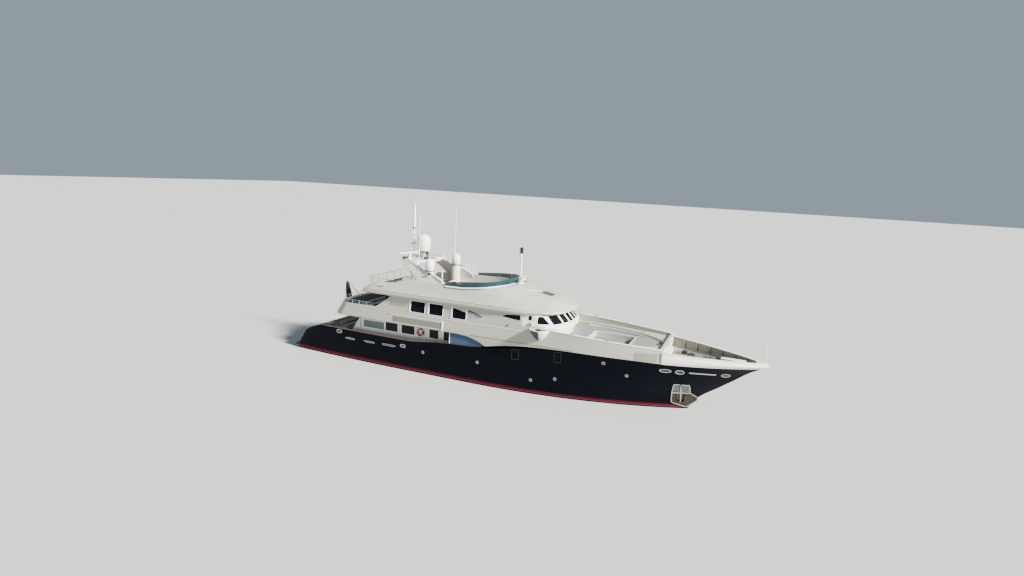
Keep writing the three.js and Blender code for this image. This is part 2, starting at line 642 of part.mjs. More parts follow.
function bowBulwark() {
  const stations = steps(0, 1, 12).map((s) => 1 - (1 - s) ** 1.4);
  const outer = loft(stations.map((s) => {
    const nominal = lerp(BREAK, 25, s);
    const high = read(BOW_TOP, nominal);
    return bothSides([4.8, 5.0, 5.2, high].map((z) => {
      const x = lerp(BREAK + GAP, read(STEM, z), s);
      return [x, halfBreadth(x, z), z];
    }));
  }));
  return largest(cut(
    outer,
    innerRoom([BREAK - 1, 17, 18, 20, 21.5, 22.6, 23.4, 23.9], 4, THROUGH + 1, 0.14),
    hullClearance,
  ));
}
add('bow_bulwark', bowBulwark(), WHITE);

// Sun deck with its sloping coaming and the roof of the wheelhouse in front

// Columns: x, fascia half-breadth, shoulder half-breadth, shoulder height, top half-breadth, top height
const SUN_STATIONS = [
  [-15.8, 3.9, 3.8, 8.21, 3.6, 8.22],
  [-15.5, 4.4, 4.28, 8.24, 4.0, 8.3],
  [-14.7, 4.52, 4.36, 8.4, 4.05, 8.75],
  [-13.9, 4.55, 4.34, 8.5, 4.02, 9.02],
  [-12.3, 4.55, 4.3, 8.6, 3.95, 9.08],
  [-10.7, 4.55, 4.15, 8.8, 3.75, 9.48],
  [-6.5, 4.55, 4.05, 8.9, 3.65, 9.65],
  [-3, 4.55, 4.0, 9.0, 3.6, 9.72],
  [-1.2, 4.55, 3.9, 9.1, 3.3, 9.8],
  [0.0, 4.53, 3.8, 9.15, 2.9, 9.9],
  [0.7, 4.5, 3.7, 9.15, 2.3, 10.0],
  [1.3, 4.48, 3.6, 9.1, 2.0, 9.92],
  [2.9, 4.35, 3.4, 8.95, 1.8, 9.5],
  [4.2, 4.05, 3.1, 8.8, 1.6, 9.28],
  [5.1, 3.7, 2.8, 8.7, 1.4, 9.1],
  [6.0, 2.95, 2.2, 8.5, 1.1, 8.8],
  [6.6, 1.9, 1.4, 8.38, 0.8, 8.55],
  [6.9, 0.9, 0.7, 8.3, 0.4, 8.4],
];
// Lower edge of the roof where it narrows over the front windows: x, half-breadth, height
const ROOF_RIM = [
  [2.9, 4.35, SUN_BOTTOM], [4.2, 3.9, SUN_BOTTOM], [5.1, 3.1, SUN_BOTTOM], [6.0, 1.4, SUN_BOTTOM],
  [6.6, 1.2, 8.02], [6.9, 0.7, 8.18],
];
const KNUCKLE = 8.2;

function sunBody(grow = 0) {
  return loft(SUN_STATIONS.map(([x, fascia, shoulder, shoulderTop, inner, top]) => {
    const lowHalf = x > ROOF_RIM[0][0] ? read(ROOF_RIM, x) : fascia;
    const low = read(ROOF_RIM, x, 2);
    return bothSides([
      [x, lowHalf, low - grow], [x, fascia + 0.05, lerp(low, KNUCKLE, 0.5)], [x, fascia, KNUCKLE + grow],
      [x, shoulder, shoulderTop + grow], [x, inner, top + grow],
    ]);
  }));
}

// Sun-deck floor: x, half-breadth
const SUN_PLAN = [
  [-15.2, 3.45], [-14.5, 3.75], [-12.3, 3.65], [-10.7, 3.45], [-6.5, 3.35], [-3, 3.25], [-1.5, 2.8],
  [-0.5, 1.9], [-0.1, 0.8],
];

add('sun_deck', cut(sunBody(), deckPlate(planOutline(SUN_PLAN), SUN_DECK, 12)), WHITE);
const sunClearance = sunBody(GAP);

// Curved glass windscreen standing on the coaming
// Columns: x, half-breadth, height of the glass
const SCREEN_PLAN = [
  [-5.9, 3.47, 0.3], [-3, 3.4, 0.42], [-1.4, 2.95, 0.5], [-0.4, 2.05, 0.55], [0.15, 0.9, 0.6],
  [0.22, 0.1, 0.6],
];

function windscreen() {
  const thick = 0.05;
  const rows = [...SCREEN_PLAN, ...SCREEN_PLAN.toReversed().map(([x, y, h]) => [x, -y, h])];
  const rings = rows.map(([x, y, height]) => {
    const length = Math.hypot(x + 3.5, y) || 1;
    const out = [((x + 3.5) / length) * thick, (y / length) * thick];
    const top = read(SUN_STATIONS, x, 5) + height;
    return [[x, y, 9.3], [x + out[0], y + out[1], 9.3], [x + out[0], y + out[1], top], [x, y, top]];
  });
  return largest(cut(loft(rings), sunClearance));
}
add('windscreen', windscreen(), GLASS);

// Radar arch: two raked legs, the platform across them and the pedestals of what it carries
const ARCH = { low: 9.5, platform: 11.3, top: 11.55, lean: 0.36, y: 3.42, thick: 0.26 };
// Radar scanners: name, x, y, half length, degrees from the centre line at rest
const SCANNERS = [['aft', -11.4, -1.85, 1.5, 75], ['fore', -9.3, 0, 1.1, -8]];
const SCANNER_SEAT = 12.05;
// Satellite domes: name, x, y, seat, radius, height
const DOMES = [
  ['main_dome', -10.8, 0, 12.3, 0.72, 1.8],
  ['dome_stbd', -8.3, -2.85, 10.7, 0.5, 1.25],
  ['dome_port', -8.3, 2.85, 10.7, 0.5, 1.25],
];
// Leg outline: x, height
const ARCH_LEG = [
  [-9.4, 9.2], [-6.3, 9.2], [-6.3, 9.7], [-7.1, 10.15], [-7.8, 10.42], [-9.0, 10.66], [-9.7, 11.1],
  [-9.9, ARCH.top], [-11.5, ARCH.top], [-11.62, 10.95], [-10.5, 10.4],
];

const legMiddle = (z) => ARCH.y - ARCH.lean * (z - ARCH.low);

function archLeg(side) {
  const leg = sidePlate(ARCH_LEG, side * ARCH.y - ARCH.thick / 2, side * ARCH.y + ARCH.thick / 2);
  const slope = -side * ARCH.lean;
  const lean = new THREE.Matrix4().set(1, 0, 0, 0, 0, 1, slope, -slope * ARCH.low, 0, 0, 1, 0, 0, 0, 0, 1);
  return leg.transform(lean.toArray());
}

function radarArch() {
  const halfTop = legMiddle(ARCH.top) + ARCH.thick / 2;
  const platform = deckPlate(planOutline([
    [-8.95, 0.5], [-9.35, 1.8], [-9.9, halfTop], [-11.5, halfTop], [-12.3, 2.0],
  ]), ARCH.platform, ARCH.top);
  const inside = ARCH.top - 0.1;
  const pedestals = SCANNERS.map(([, x, y]) => bar([x, y, inside], [x, y, SCANNER_SEAT], 0.16));
  const [, domeX, , domeSeat] = DOMES[0];
  const domePost = bar([domeX, 0, inside], [domeX, 0, domeSeat - GAP], 0.34, undefined, 12);
  const columns = DOMES.slice(1).map(([, x, y, seat, radius]) => (
    bar([x, y, SUN_DECK + GAP], [x, y, seat - GAP], radius, undefined, 16)
  ));
  const legs = SIDES.map(([, side]) => archLeg(side));
  const arch = largest(cut(join(platform, domePost, ...pedestals, ...legs), sunClearance));
  return join(arch, ...columns);
}
add('radar_arch', radarArch(), WHITE);

for (const [name, x, y, reach, turn] of SCANNERS) {
  const blade = join(
    box(-reach, reach, -0.09, 0.09, 0.09, 0.2).rotate([0, 0, turn]),
    bar([0, 0, GAP], [0, 0, 0.12], 0.14),
  );
  add(`radar_scanner_${name}`, blade, WHITE, [x, y, SCANNER_SEAT]);
}

for (const [name, x, y, seat, radius, height] of DOMES) {
  const centre = seat + height - radius;
  const cap = steps(0, Math.PI / 2, 5).slice(0, 5).map((a) => (
    [radius * Math.cos(a), centre + radius * Math.sin(a)]
  ));
  const foot = [[0, seat], [radius * 0.86, seat], [radius * 0.97, seat + 0.1 * height]];
  add(name, turned(x, y, [...foot, ...cap, [0, seat + height]]), WHITE);
}

// Bar counter under the arch, open on its aft side
const SUN_BAR = { aft: -10.9, fore: -7.9, half: 2.2, top: 9.15, counter: 0.8 };

function sunBar() {
  const { aft, fore, half, top, counter } = SUN_BAR;
  return cut(
    box(aft, fore, -half, half, SUN_DECK + GAP, top),
    box(aft - 1, fore - counter, counter - half, half - counter, 0, THROUGH * 2),
  );
}
add('sun_bar', sunBar(), WHITE);

// Masts and aerials: name, what it stands on, foot, head, foot radius, head radius
const POLES = [
  ['mast_pole', 'radar_arch', [-12.05, 0, ARCH.platform], [-12.05, 0, 17.3], 0.09, 0.06],
  ['jackstaff', 'bow_bulwark', [24.6, 0, 5.2], [24.62, 0, 7.3], 0.05, 0.03],
  ['foremast', 'sun_deck', [0.78, 0, 9.8], [0.72, 0, 13.1], 0.1, 0.07],
  ['ensign_staff', 'upper_shell', [-18.95, 0, 6.0], [-21.2, 0, 7.85], 0.04, 0.03],
];
// What the masts carry: a foot plate with a second aerial, and the yard of the searchlights
const MAST_FITTINGS = {
  mast_pole: [
    box(-12.2, -11.7, -0.4, 0.14, ARCH.top + GAP, ARCH.top + 0.05),
    bar([-11.85, -0.3, ARCH.top + 0.01], [-11.85, -0.3, 16], 0.03, 0.02, 8),
  ],
  foremast: [
    box(0.9, 1.15, -0.5, 0.5, 10.3, 10.42),
    box(0.66, 1.0, -0.06, 0.06, 10.3, 10.42),
    ...SIDES.map(([, side]) => bar([1.0, side * 0.45, 10.3], [1.0, side * 0.45, 10.75], 0.14)),
  ],
};
for (const [name, support, foot, head, footRadius, headRadius] of POLES) {
  const pole = bar(foot, head, footRadius, headRadius, 8);
  add(name, stand(join(pole, ...(MAST_FITTINGS[name] ?? [])), support), WHITE);
}

// Ensign hanging from its staff: x, height
const ENSIGN_OUTLINE = [
  [-21.15, 7.8], [-20.72, 7.45], [-20.64, 6.2], [-20.78, 5.35], [-21.15, 5.3], [-21.36, 6.1], [-21.38, 7.2],
];
const ENSIGN_HALF = 0.07;
add('ensign', largest(cut(
  sidePlate(ENSIGN_OUTLINE, -ENSIGN_HALF, ENSIGN_HALF),
  ...[0, -GAP, GAP].map((shift) => pieces.ensign_staff.translate([shift, 0, shift])),
)), CLOTH);

// Windlasses and bollards on their bed on the mooring deck
function mooringGear() {
  const bed = box(17.0, 20.1, -1.0, 1.0, MOORING_DECK + GAP, MOORING_DECK + 0.05);
  const [foot, high] = [MOORING_DECK + 0.02, MOORING_DECK + 0.42];
  const sets = SIDES.flatMap(([, side]) => [
    box(17.9, 18.5, side * 0.6 - 0.15, side * 0.6 + 0.15, foot, high + 0.08),
    bar([18.2, side * 0.3, high], [18.2, side * 0.95, high], 0.24, 0.24, 12),
    ...[19.4, 19.85].map((x) => bar([x, side * 0.7, foot], [x, side * 0.7, high], 0.1)),
  ]);
  return join(bed, ...sets);
}
add('mooring_gear', mooringGear(), STEEL);

// Locker on the centre line forward of the windlasses
const LOCKER = { aft: 20.9, fore: 23.0, half: 0.28, seam: 5.32, top: 5.46 };
add('bow_locker', box(
  LOCKER.aft, LOCKER.fore, -LOCKER.half, LOCKER.half, MOORING_DECK + GAP, LOCKER.seam,
), WHITE);
add('bow_locker_lid', box(
  LOCKER.aft - 0.03, LOCKER.fore + 0.03, -LOCKER.half, LOCKER.half, LOCKER.seam + GAP, LOCKER.top,
), WHITE);

// Seats with loose cushions: name, aft x, fore x, half-breadth, floor, height of the seat, side of the back
const SEATS = [
  ['aft_sofa', -20.6, -19.6, 1.9, MAIN_DECK, 0.36, 'aft'],
  ['upper_sofa', -17.5, -16.5, 2.2, UPPER_DECK, 0.36, 'aft'],
  ['sun_sofa', -2.0, -1.1, 1.9, SUN_DECK, 0.36, 'fore'],
];
const CUSHION_THICK = 0.16;
for (const [name, aft, fore, half, floor, height, back] of SEATS) {
  const seat = box(aft, fore, -half, half, floor + GAP, floor + height);
  const backs = { aft: [aft, aft + 0.2], fore: [fore - 0.2, fore] };
  add(name, join(seat, box(...backs[back], -half, half, floor + height - 0.1, floor + 0.8)), WHITE);
  const [low, high] = back === 'aft' ? [aft + 0.22, fore] : [aft, fore - 0.22];
  const base = floor + height + GAP;
  add(`${name}_cushion`, box(low, high, -half + 0.02, half - 0.02, base, base + CUSHION_THICK), CUSHION);
}

add('sun_pad', box(-14.9, -12.9, -2.4, 2.4, SUN_DECK + GAP, SUN_DECK + 0.35), CUSHION);

// Tables: name, x, floor, half length, half width
const TABLES = [['aft_table', -18.7, MAIN_DECK, 0.55, 1.3], ['upper_table', -15.2, UPPER_DECK, 0.6, 1.4]];
for (const [name, x, floor, long, wide] of TABLES) {
  const angles = steps(0, 2 * Math.PI, 16).slice(0, 16);
  const plan = angles.map((a) => [x + long * Math.cos(a), wide * Math.sin(a)]);
  const top = deckPlate(plan, floor + 0.7, floor + 0.75);
  const foot = box(x - 0.2, x + 0.2, -0.5, 0.5, floor + GAP, floor + 0.04);
  add(name, join(top, foot, box(x - 0.08, x + 0.08, -0.3, 0.3, floor + 0.02, floor + 0.72)), TEAK);
}

// Guard rails: name, what they stand on, height of the rail, lowest foot, points of the plan
const bulwarkMiddle = (x) => [x, shellHalf(x, 6.35) - SHELL_WALL / 2];
const rimPoint = (x) => [x + shellRake(x) * (6.3 - UPPER_BOTTOM) + 0.12, shellHalf(x, 6.3) - 0.09];
const UPPER_RAIL_PLAN = [
  ...[-14.4, -15.6, -16.8].map(bulwarkMiddle), ...[-18.4, -19.2, -19.75, -20.1].map(rimPoint), [-19.3, 0.7],
];
const SUN_RAIL_PLAN = [[-12.2, 3.8], [-13.4, 3.85], [-14.5, 3.9], [-15.2, 3.68], [-15.48, 2.6], [-15.48, 1]];
const RAILS = [
  ['upper_rail', 'upper_shell', 6.72, 6.2, UPPER_RAIL_PLAN],
  ['sun_rail', 'sun_deck', 9.35, 8.15, SUN_RAIL_PLAN],
];
const RAIL_RADIUS = 0.03;

function guardRail(height, foot, plan) {
  const path = [...plan, ...plan.toReversed().map(([x, y]) => [x, -y])];
  const rod = (from, to) => bar(from, to, RAIL_RADIUS, RAIL_RADIUS, 6);
  const spans = path.slice(1).map(([x, y], i) => rod([...path[i], height], [x, y, height]));
  const posts = path.map(([x, y]) => rod([x, y, foot], [x, y, height + 0.01]));
  return join(...spans, ...posts);
}
for (const [name, support, height, foot, plan] of RAILS) {
  add(name, stand(guardRail(height, foot, plan), support), STEEL);
}

export default yacht;
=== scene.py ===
"""Looks of the motor yacht: smooth shells, decks, glazing, fittings, soft pieces and their finishes.

Shapes are worked out in metres of the real ship and halved when a piece is made, because the part is a 1:2 scale
model. +X points to the bow, +Y to port and +Z up, with the origin amidships on the waterline.
"""

import json
from math import cos, hypot, pi, radians, sin, sqrt, tau

import bmesh
import bpy
from mathutils import Matrix, Vector

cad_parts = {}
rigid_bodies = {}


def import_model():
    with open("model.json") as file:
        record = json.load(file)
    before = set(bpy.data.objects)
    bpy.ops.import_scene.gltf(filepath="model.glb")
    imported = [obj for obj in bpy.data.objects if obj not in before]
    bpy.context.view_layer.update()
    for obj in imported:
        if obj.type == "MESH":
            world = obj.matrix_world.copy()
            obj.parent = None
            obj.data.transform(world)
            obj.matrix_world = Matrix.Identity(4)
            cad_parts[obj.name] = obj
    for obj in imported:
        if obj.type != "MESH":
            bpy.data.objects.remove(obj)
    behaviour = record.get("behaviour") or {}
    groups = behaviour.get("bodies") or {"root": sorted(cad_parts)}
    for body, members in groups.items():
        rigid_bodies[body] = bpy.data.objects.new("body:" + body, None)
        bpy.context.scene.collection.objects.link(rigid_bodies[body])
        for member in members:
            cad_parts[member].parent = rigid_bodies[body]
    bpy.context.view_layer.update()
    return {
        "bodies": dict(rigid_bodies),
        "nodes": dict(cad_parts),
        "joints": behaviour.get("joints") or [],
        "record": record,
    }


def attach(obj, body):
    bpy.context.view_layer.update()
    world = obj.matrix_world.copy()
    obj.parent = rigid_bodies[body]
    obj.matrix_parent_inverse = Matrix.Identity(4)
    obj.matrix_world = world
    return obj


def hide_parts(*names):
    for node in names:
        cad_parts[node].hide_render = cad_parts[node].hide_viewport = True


bl_info = {
    "name": "Motor yacht pieces",
    "version": (1, 0, 0),
    "blender": (4, 5, 0),
    "location": "View3D > Sidebar > Yacht",
    "description": "Builds the looks of a motor yacht around its packed frame",
    "category": "Add Mesh",
}

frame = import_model()
SCALE = 0.5
SHIP = "ship"
SIDES = {"stbd": -1, "port": 1}
BOTH = (-1, 1)

# Heights above the waterline
MAIN_DECK, UPPER_BOTTOM, UPPER_DECK = 2.4, 4.95, 5.15
FORE_DECK, LEDGE, MOORING_DECK = 5.6, 5.95, 4.65
SUN_BOTTOM, SUN_DECK, KNUCKLE, SHEER_LEVEL = 7.82, 8.05, 8.2, 5
BREAK = 16.1


# Numbers and curves


def clamp(value, low=0, high=1):
    return max(low, min(high, value))


def mix(a, b, share):
    return a + (b - a) * share


def spread(start, end, count):
    """Evenly spaced numbers from start to end, both included."""
    return [mix(start, end, i / count) for i in range(count + 1)]


def straight(rows, at, column=1):
    """Reads a table along straight lines between its rows."""
    if at <= rows[0][0]:
        return rows[0][column]
    for low, high in zip(rows, rows[1:]):
        if at <= high[0]:
            return mix(low[column], high[column], (at - low[0]) / (high[0] - low[0]))
    return rows[-1][column]


class Fair:
    """Fair curve through the rows of a table: it never swings past the rows that it joins."""

    def __init__(self, rows):
        self.rows = rows
        self.slopes = [self.slopes_of(column) for column in range(len(rows[0]))]

    def slopes_of(self, column):
        rows = self.rows
        rates = [(b[column] - a[column]) / (b[0] - a[0]) for a, b in zip(rows, rows[1:])]
        inner = [2 * p * q / (p + q) if p * q > 0 else 0 for p, q in zip(rates, rates[1:])]
        return [rates[0], *inner, rates[-1]]

    def __call__(self, at, column=1):
        rows = self.rows
        if at <= rows[0][0]:
            return rows[0][column]
        if at >= rows[-1][0]:
            return rows[-1][column]
        k = next(i for i in range(1, len(rows)) if at <= rows[i][0])
        low, high = rows[k - 1], rows[k]
        width = high[0] - low[0]
        t = (at - low[0]) / width
        a, b = self.slopes[column][k - 1] * width, self.slopes[column][k] * width
        return (
            (2 * t**3 - 3 * t**2 + 1) * low[column]
            + (t**3 - 2 * t**2 + t) * a
            + (3 * t**2 - 2 * t**3) * high[column]
            + (t**3 - t**2) * b
        )


# Hull lines. Stem and stern: height, x. Keel and sheer: x, height
stem = Fair([
    (-2.45, 13.6), (-1.8, 16.4), (-0.9, 17.8), (0, 18.4), (1.4, 19.4), (2.4, 20.75), (3.4, 22.1), (4.4, 23.4),
    (4.9, 24.3), (5.2, 25),
])
stern = Fair([
    (-0.6, -24.7), (0, -25), (0.3, -25.05), (0.95, -24.8), (1.7, -24.3), (2.3, -23.9), (2.65, -23.3), (3.05, -22.25),
    (3.3, -21.5), (3.4, -21.1),
])
keel = Fair([(-25, -0.35), (-20, -0.75), (-15, -1.55), (-9, -2.25), (0, -2.45)])
sheer = Fair([
    (-25, 3.3), (-12, 3.3), (-8, 3.7), (-2, 4), (1.7, 4.6), (4, 4.85), (8, 5), (12, 5), (17, 4.9),
    (24.3, 4.9),
])
HULL_AFT, HULL_FORE = -25, 24.3


def half_breadth(x, z):
    rise = clamp(z / SHEER_LEVEL)
    shoulder = mix(-4, 2, rise)
    taper = clamp((x - shoulder) / (stem(z) - shoulder))
    quarter = clamp((-10 - x) / 14.5)
    half = mix(4.45, 4.65, rise) * (1 - taper ** mix(2.4, 3, rise)) - 0.5 * quarter**2
    if z < 0:
        half *= (1 - clamp(z / keel(x)) ** 2.4) ** 0.55
        return max(half, 0.14 * clamp((stem(z) - x) / 2 + 0.36, 0.36, 1))
    return max(half, 0.05)


# Shapes


def grid_of(columns, rows, place):
    """Surface whose points come from place(column value, row value)."""
    bm = bmesh.new()
    bmesh.ops.create_grid(bm, x_segments=len(columns) - 1, y_segments=len(rows) - 1, size=0.5)
    for vert in bm.verts:
        column = round((vert.co.x + 0.5) * (len(columns) - 1))
        row = round((vert.co.y + 0.5) * (len(rows) - 1))
        vert.co = place(columns[column], rows[row])
    return bm


def weld(bm, distance=1e-4):
    bmesh.ops.remove_doubles(bm, verts=bm.verts, dist=distance)
    bmesh.ops.dissolve_degenerate(bm, edges=bm.edges, dist=distance / 10)
    bmesh.ops.recalc_face_normals(bm, faces=bm.faces)
    return bm


def closed_up(bm):
    """Welds a shape and fills the holes at its open ends."""
    weld(bm)
    bmesh.ops.holes_fill(bm, edges=[e for e in bm.edges if e.is_boundary], sides=0)
    return weld(bm)


def both_sides(bm):
    """Adds the mirror image across the centre line."""
    parts = bm.verts[:] + bm.edges[:] + bm.faces[:]
    bmesh.ops.mirror(bm, geom=parts, axis="Y", merge_dist=1e-5)
    return weld(bm)


def joined(*shapes):
    """One mesh that holds all the shapes, which are used up."""
    whole = bmesh.new()
    for shape in shapes:
        mesh = bpy.data.meshes.new("part")
        shape.to_mesh(mesh)
        shape.free()
        whole.from_mesh(mesh)
        bpy.data.meshes.remove(mesh)
    return whole


def tinted(bm, index):
    for face in bm.faces:
        face.material_index = index
    return bm


def layered(*groups):
    """One mesh of groups of shapes, each group with the next of the piece's finishes."""
    return joined(*[tinted(shape, k) for k, group in enumerate(groups) for shape in group])


def moved(bm, by=(0, 0, 0), turn=None):
    """Turns a shape by an angle about an axis through the origin, then shifts it."""
    if turn:
        bmesh.ops.rotate(bm, matrix=Matrix.Rotation(turn[0], 3, turn[1]), verts=bm.verts)
    bmesh.ops.translate(bm, vec=Vector(by), verts=bm.verts)
    return bm


def block(x, y, z, bevel=0, segments=2):
    """Box between pairs of x, y and z, with rounded edges."""
    bm = bmesh.new()
    size = [abs(b - a) for a, b in (x, y, z)]
    middle = [(a + b) / 2 for a, b in (x, y, z)]
    bmesh.ops.create_cube(bm, size=1, matrix=Matrix.Translation(middle) @ Matrix.Diagonal((*size, 1)))
    if bevel:
        rounded_edges(bm, bevel, segments)
    return bm


def rounded_edges(bm, width, segments=2, angle=0.5):
    sharp = [e for e in bm.edges if len(e.link_faces) == 2 and e.calc_face_angle(0) > angle]
    bmesh.ops.bevel(
        bm, geom=sharp, offset=width, segments=segments, affect="EDGES", profile=0.5, material=-1, clamp_overlap=True
    )
    return bm


def between(start, end):
    """Turn and place that carry an upright shape at the origin onto the line from start to end."""
    way = Vector(end) - Vector(start)
    return Matrix.Translation((Vector(start) + Vector(end)) / 2) @ way.to_track_quat("Z", "Y").to_matrix().to_4x4()


def rod(start, end, radius, tip=None, sides=16):
    bm = bmesh.new()
    length = (Vector(end) - Vector(start)).length
    bmesh.ops.create_cone(
        bm, cap_ends=True, segments=sides, radius1=radius, radius2=radius if tip is None else tip, depth=length,
        matrix=between(start, end),
    )
    return bm


def smooth_path(points, per_span=6):
    """Points on a smooth curve through the given ones."""
    ends = [Vector(p) for p in points]
    padded = [2 * ends[0] - ends[1], *ends, 2 * ends[-1] - ends[-2]]
    path = []
    for a, b, c, d in zip(padded, padded[1:], padded[2:], padded[3:]):
        for i in range(per_span):
            t = i / per_span
            path.append(
                0.5 * (2 * b + (c - a) * t + (2 * a - 5 * b + 4 * c - d) * t**2 + (3 * b - a - 3 * c + d) * t**3)
            )
    return [*path, ends[-1]]


def swept(path, section, closed=False):
    """Body of one cross-section along a path. Section points are (across, up); up stays near +Z."""
    points = [Vector(p) for p in path]
    count = len(points)

    def place(i, k):
        before = points[(i - 1) % count] if closed or i else points[i]
        after = points[(i + 1) % count] if closed or i < count - 1 else points[i]
        along = (after - before).normalized()
        across = along.cross(Vector((0, 0, 1)))
        across = across.normalized() if across.length > 1e-3 else Vector((0, 1, 0))
        up = across.cross(along)
        a, b = section[k % len(section)]
        return points[i] + across * a + up * b

    rows = range(len(section) + 1)
    if closed:
        return weld(grid_of([*range(count), 0], rows, place))
    return closed_up(grid_of(range(count), rows, place))


def circle(radius, sides=10):
    return [(radius * cos(a), radius * sin(a)) for a in spread(0, tau, sides)[:-1]]


def slab(wide, high):
    """Flat cross-section with eased corners."""
    ease = min(wide, high) * 0.3
    a, b = wide / 2, high / 2
    return [
        (a, -b + ease), (a, b - ease), (a - ease, b), (-a + ease, b), (-a, b - ease), (-a, -b + ease), (-a + ease, -b),
        (a - ease, -b),
    ]


def tube(path, radius, sides=10, closed=False):
    return swept(path, circle(radius, sides), closed)


def hoop(radius, thick, count, sides=10):
    """Level ring of round section."""
    return tube([(x, y, 0) for x, y in circle(radius, count)], thick, sides, closed=True)


def turned(profile, place=(0, 0, 0), steps=40):
    """Turned body on an upright axis from (radius, height) rows."""
    bm = bmesh.new()
    verts = [bm.verts.new((r, 0, z)) for r, z in profile]
    edges = [bm.edges.new(pair) for pair in zip(verts, verts[1:])]
    bmesh.ops.spin(
        bm, geom=verts + edges, cent=(0, 0, 0), axis=(0, 0, 1), angle=tau, steps=steps, use_merge=True
    )
    return moved(weld(bm), place)


def plate(outline, low, high, toward="Z"):
    """Plate from an outline. It lies level, or stands along the ship (toward Y) or across it (toward X)."""
    lift = {"Z": lambda a, b, c: (a, b, c), "Y": lambda a, b, c: (a, c, b), "X": lambda a, b, c: (c, a, b)}[toward]
    bm = bmesh.new()
    face = bm.faces.new([bm.verts.new(lift(a, b, low)) for a, b in outline])
    raised = bmesh.ops.extrude_face_region(bm, geom=[face])["geom"]
    shift = Vector(lift(0, 0, high - low))
    bmesh.ops.translate(bm, vec=shift, verts=[v for v in raised if isinstance(v, bmesh.types.BMVert)])
    return weld(bm)


def eased(outline, radius, steps=4):
    """Outline with rounded corners."""
    points = [Vector(p) for p in outline]
    count = len(points)
    result = []
    for i, corner in enumerate(points):
        back, ahead = points[i - 1] - corner, points[(i + 1) % count] - corner
        cut = min(radius, back.length * 0.48, ahead.length * 0.48)
        start, end = corner + back.normalized() * cut, corner + ahead.normalized() * cut
        for t in spread(0, 1, steps):
            result.append(tuple(start * (1 - t) ** 2 + corner * 2 * t * (1 - t) + end * t**2))
    return result


def whole_plan(rows):
    """Outline of a plan from rows of x and half-breadth."""
    return [*rows, *[(x, -y) for x, y in reversed(rows)]]


def placed(name, data):
    """Object of that data, in the scene."""
    thing = bpy.data.objects.new(name, data)
    bpy.context.scene.collection.objects.link(thing)
    return thing


def stand_in(bm):
    mesh = bpy.data.meshes.new("stand_in")
    bm.to_mesh(mesh)
    bm.free()
    for _ in range(4):
        mesh.materials.append(None)
    return placed("stand_in", mesh)


def carved(bm, *tools, operation="DIFFERENCE"):
    """Closed shape with others cut out of it. The tools' faces keep their own material numbers."""
    body, tool = stand_in(bm), stand_in(joined(*tools))
    cut = body.modifiers.new("cut", "BOOLEAN")
    cut.operation, cut.solver, cut.object, cut.use_self = operation, "EXACT", tool, True
    result = bmesh.new()
    result.from_object(body, bpy.context.evaluated_depsgraph_get())
    for thing in (body, tool):
        mesh = thing.data
        bpy.data.objects.remove(thing)
        bpy.data.meshes.remove(mesh)
    return result


def add_piece(name, shape, finishes, replaces=None, body=SHIP, slot=None, sharp=35):
    """Makes the finished piece: model size, sharp edges marked, materials on, riding on its body.

    The shape may be a list of shapes. A slot, named or taken from the first of the finishes, is worked out but not kept
    on the piece.
    """
    bm = joined(*shape) if isinstance(shape, list) else shape
    bmesh.ops.scale(bm, vec=(SCALE,) * 3, verts=bm.verts)
    for face in bm.faces:
        face.smooth = True
    for edge in bm.edges:
        edge.smooth = len(edge.link_faces) == 2 and edge.calc_face_angle(0) < radians(sharp)
    mesh = bpy.data.meshes.new(name)
    bm.to_mesh(mesh)
    bm.free()
    names = finishes.split()
    for finish in names:
        mesh.materials.append(finished(finish))
    thing = placed(name, mesh)
    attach(thing, body)
    if replaces:
        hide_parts(replaces)
    slot or FINISHES[names[0]][0]
    return thing


# Shader expressions


class Value:
    """Number, colour or vector that a shader node gives out, for use in expressions."""

    def __init__(self, recipe, socket):
        self.recipe, self.socket = recipe, socket

    def math(self, operation, other=0, swap=False):
        pair = [other, self] if swap else [self, other]
        return self.recipe.node("ShaderNodeMath", {"operation": operation}, {0: pair[0], 1: pair[1]})

    def __add__(self, other):
        return self.math("ADD", other)

    __radd__ = __add__

    def __sub__(self, other):
        return self.math("SUBTRACT", other)

    def __rsub__(self, other):
        return self.math("SUBTRACT", other, True)

    def __mul__(self, other):
        return self.math("MULTIPLY", other)

    __rmul__ = __mul__

    def __truediv__(self, other):
        return self.math("DIVIDE", other)

    def __gt__(self, other):
        return self.math("GREATER_THAN", other)

    def __lt__(self, other):
        return self.math("LESS_THAN", other)

    def frac(self):
        return self.math("FRACT")

    def size(self):
        return self.math("ABSOLUTE")

    def most(self, other):
        return self.math("MAXIMUM", other)

    def ramp(self, low, high, to_low=0, to_high=1):
        """Reads the value between low and high as a number between to_low and to_high."""
        return self.recipe.node(
            "ShaderNodeMapRange", {}, {0: self, 1: low, 2: high, 3: to_low, 4: to_high}
        )


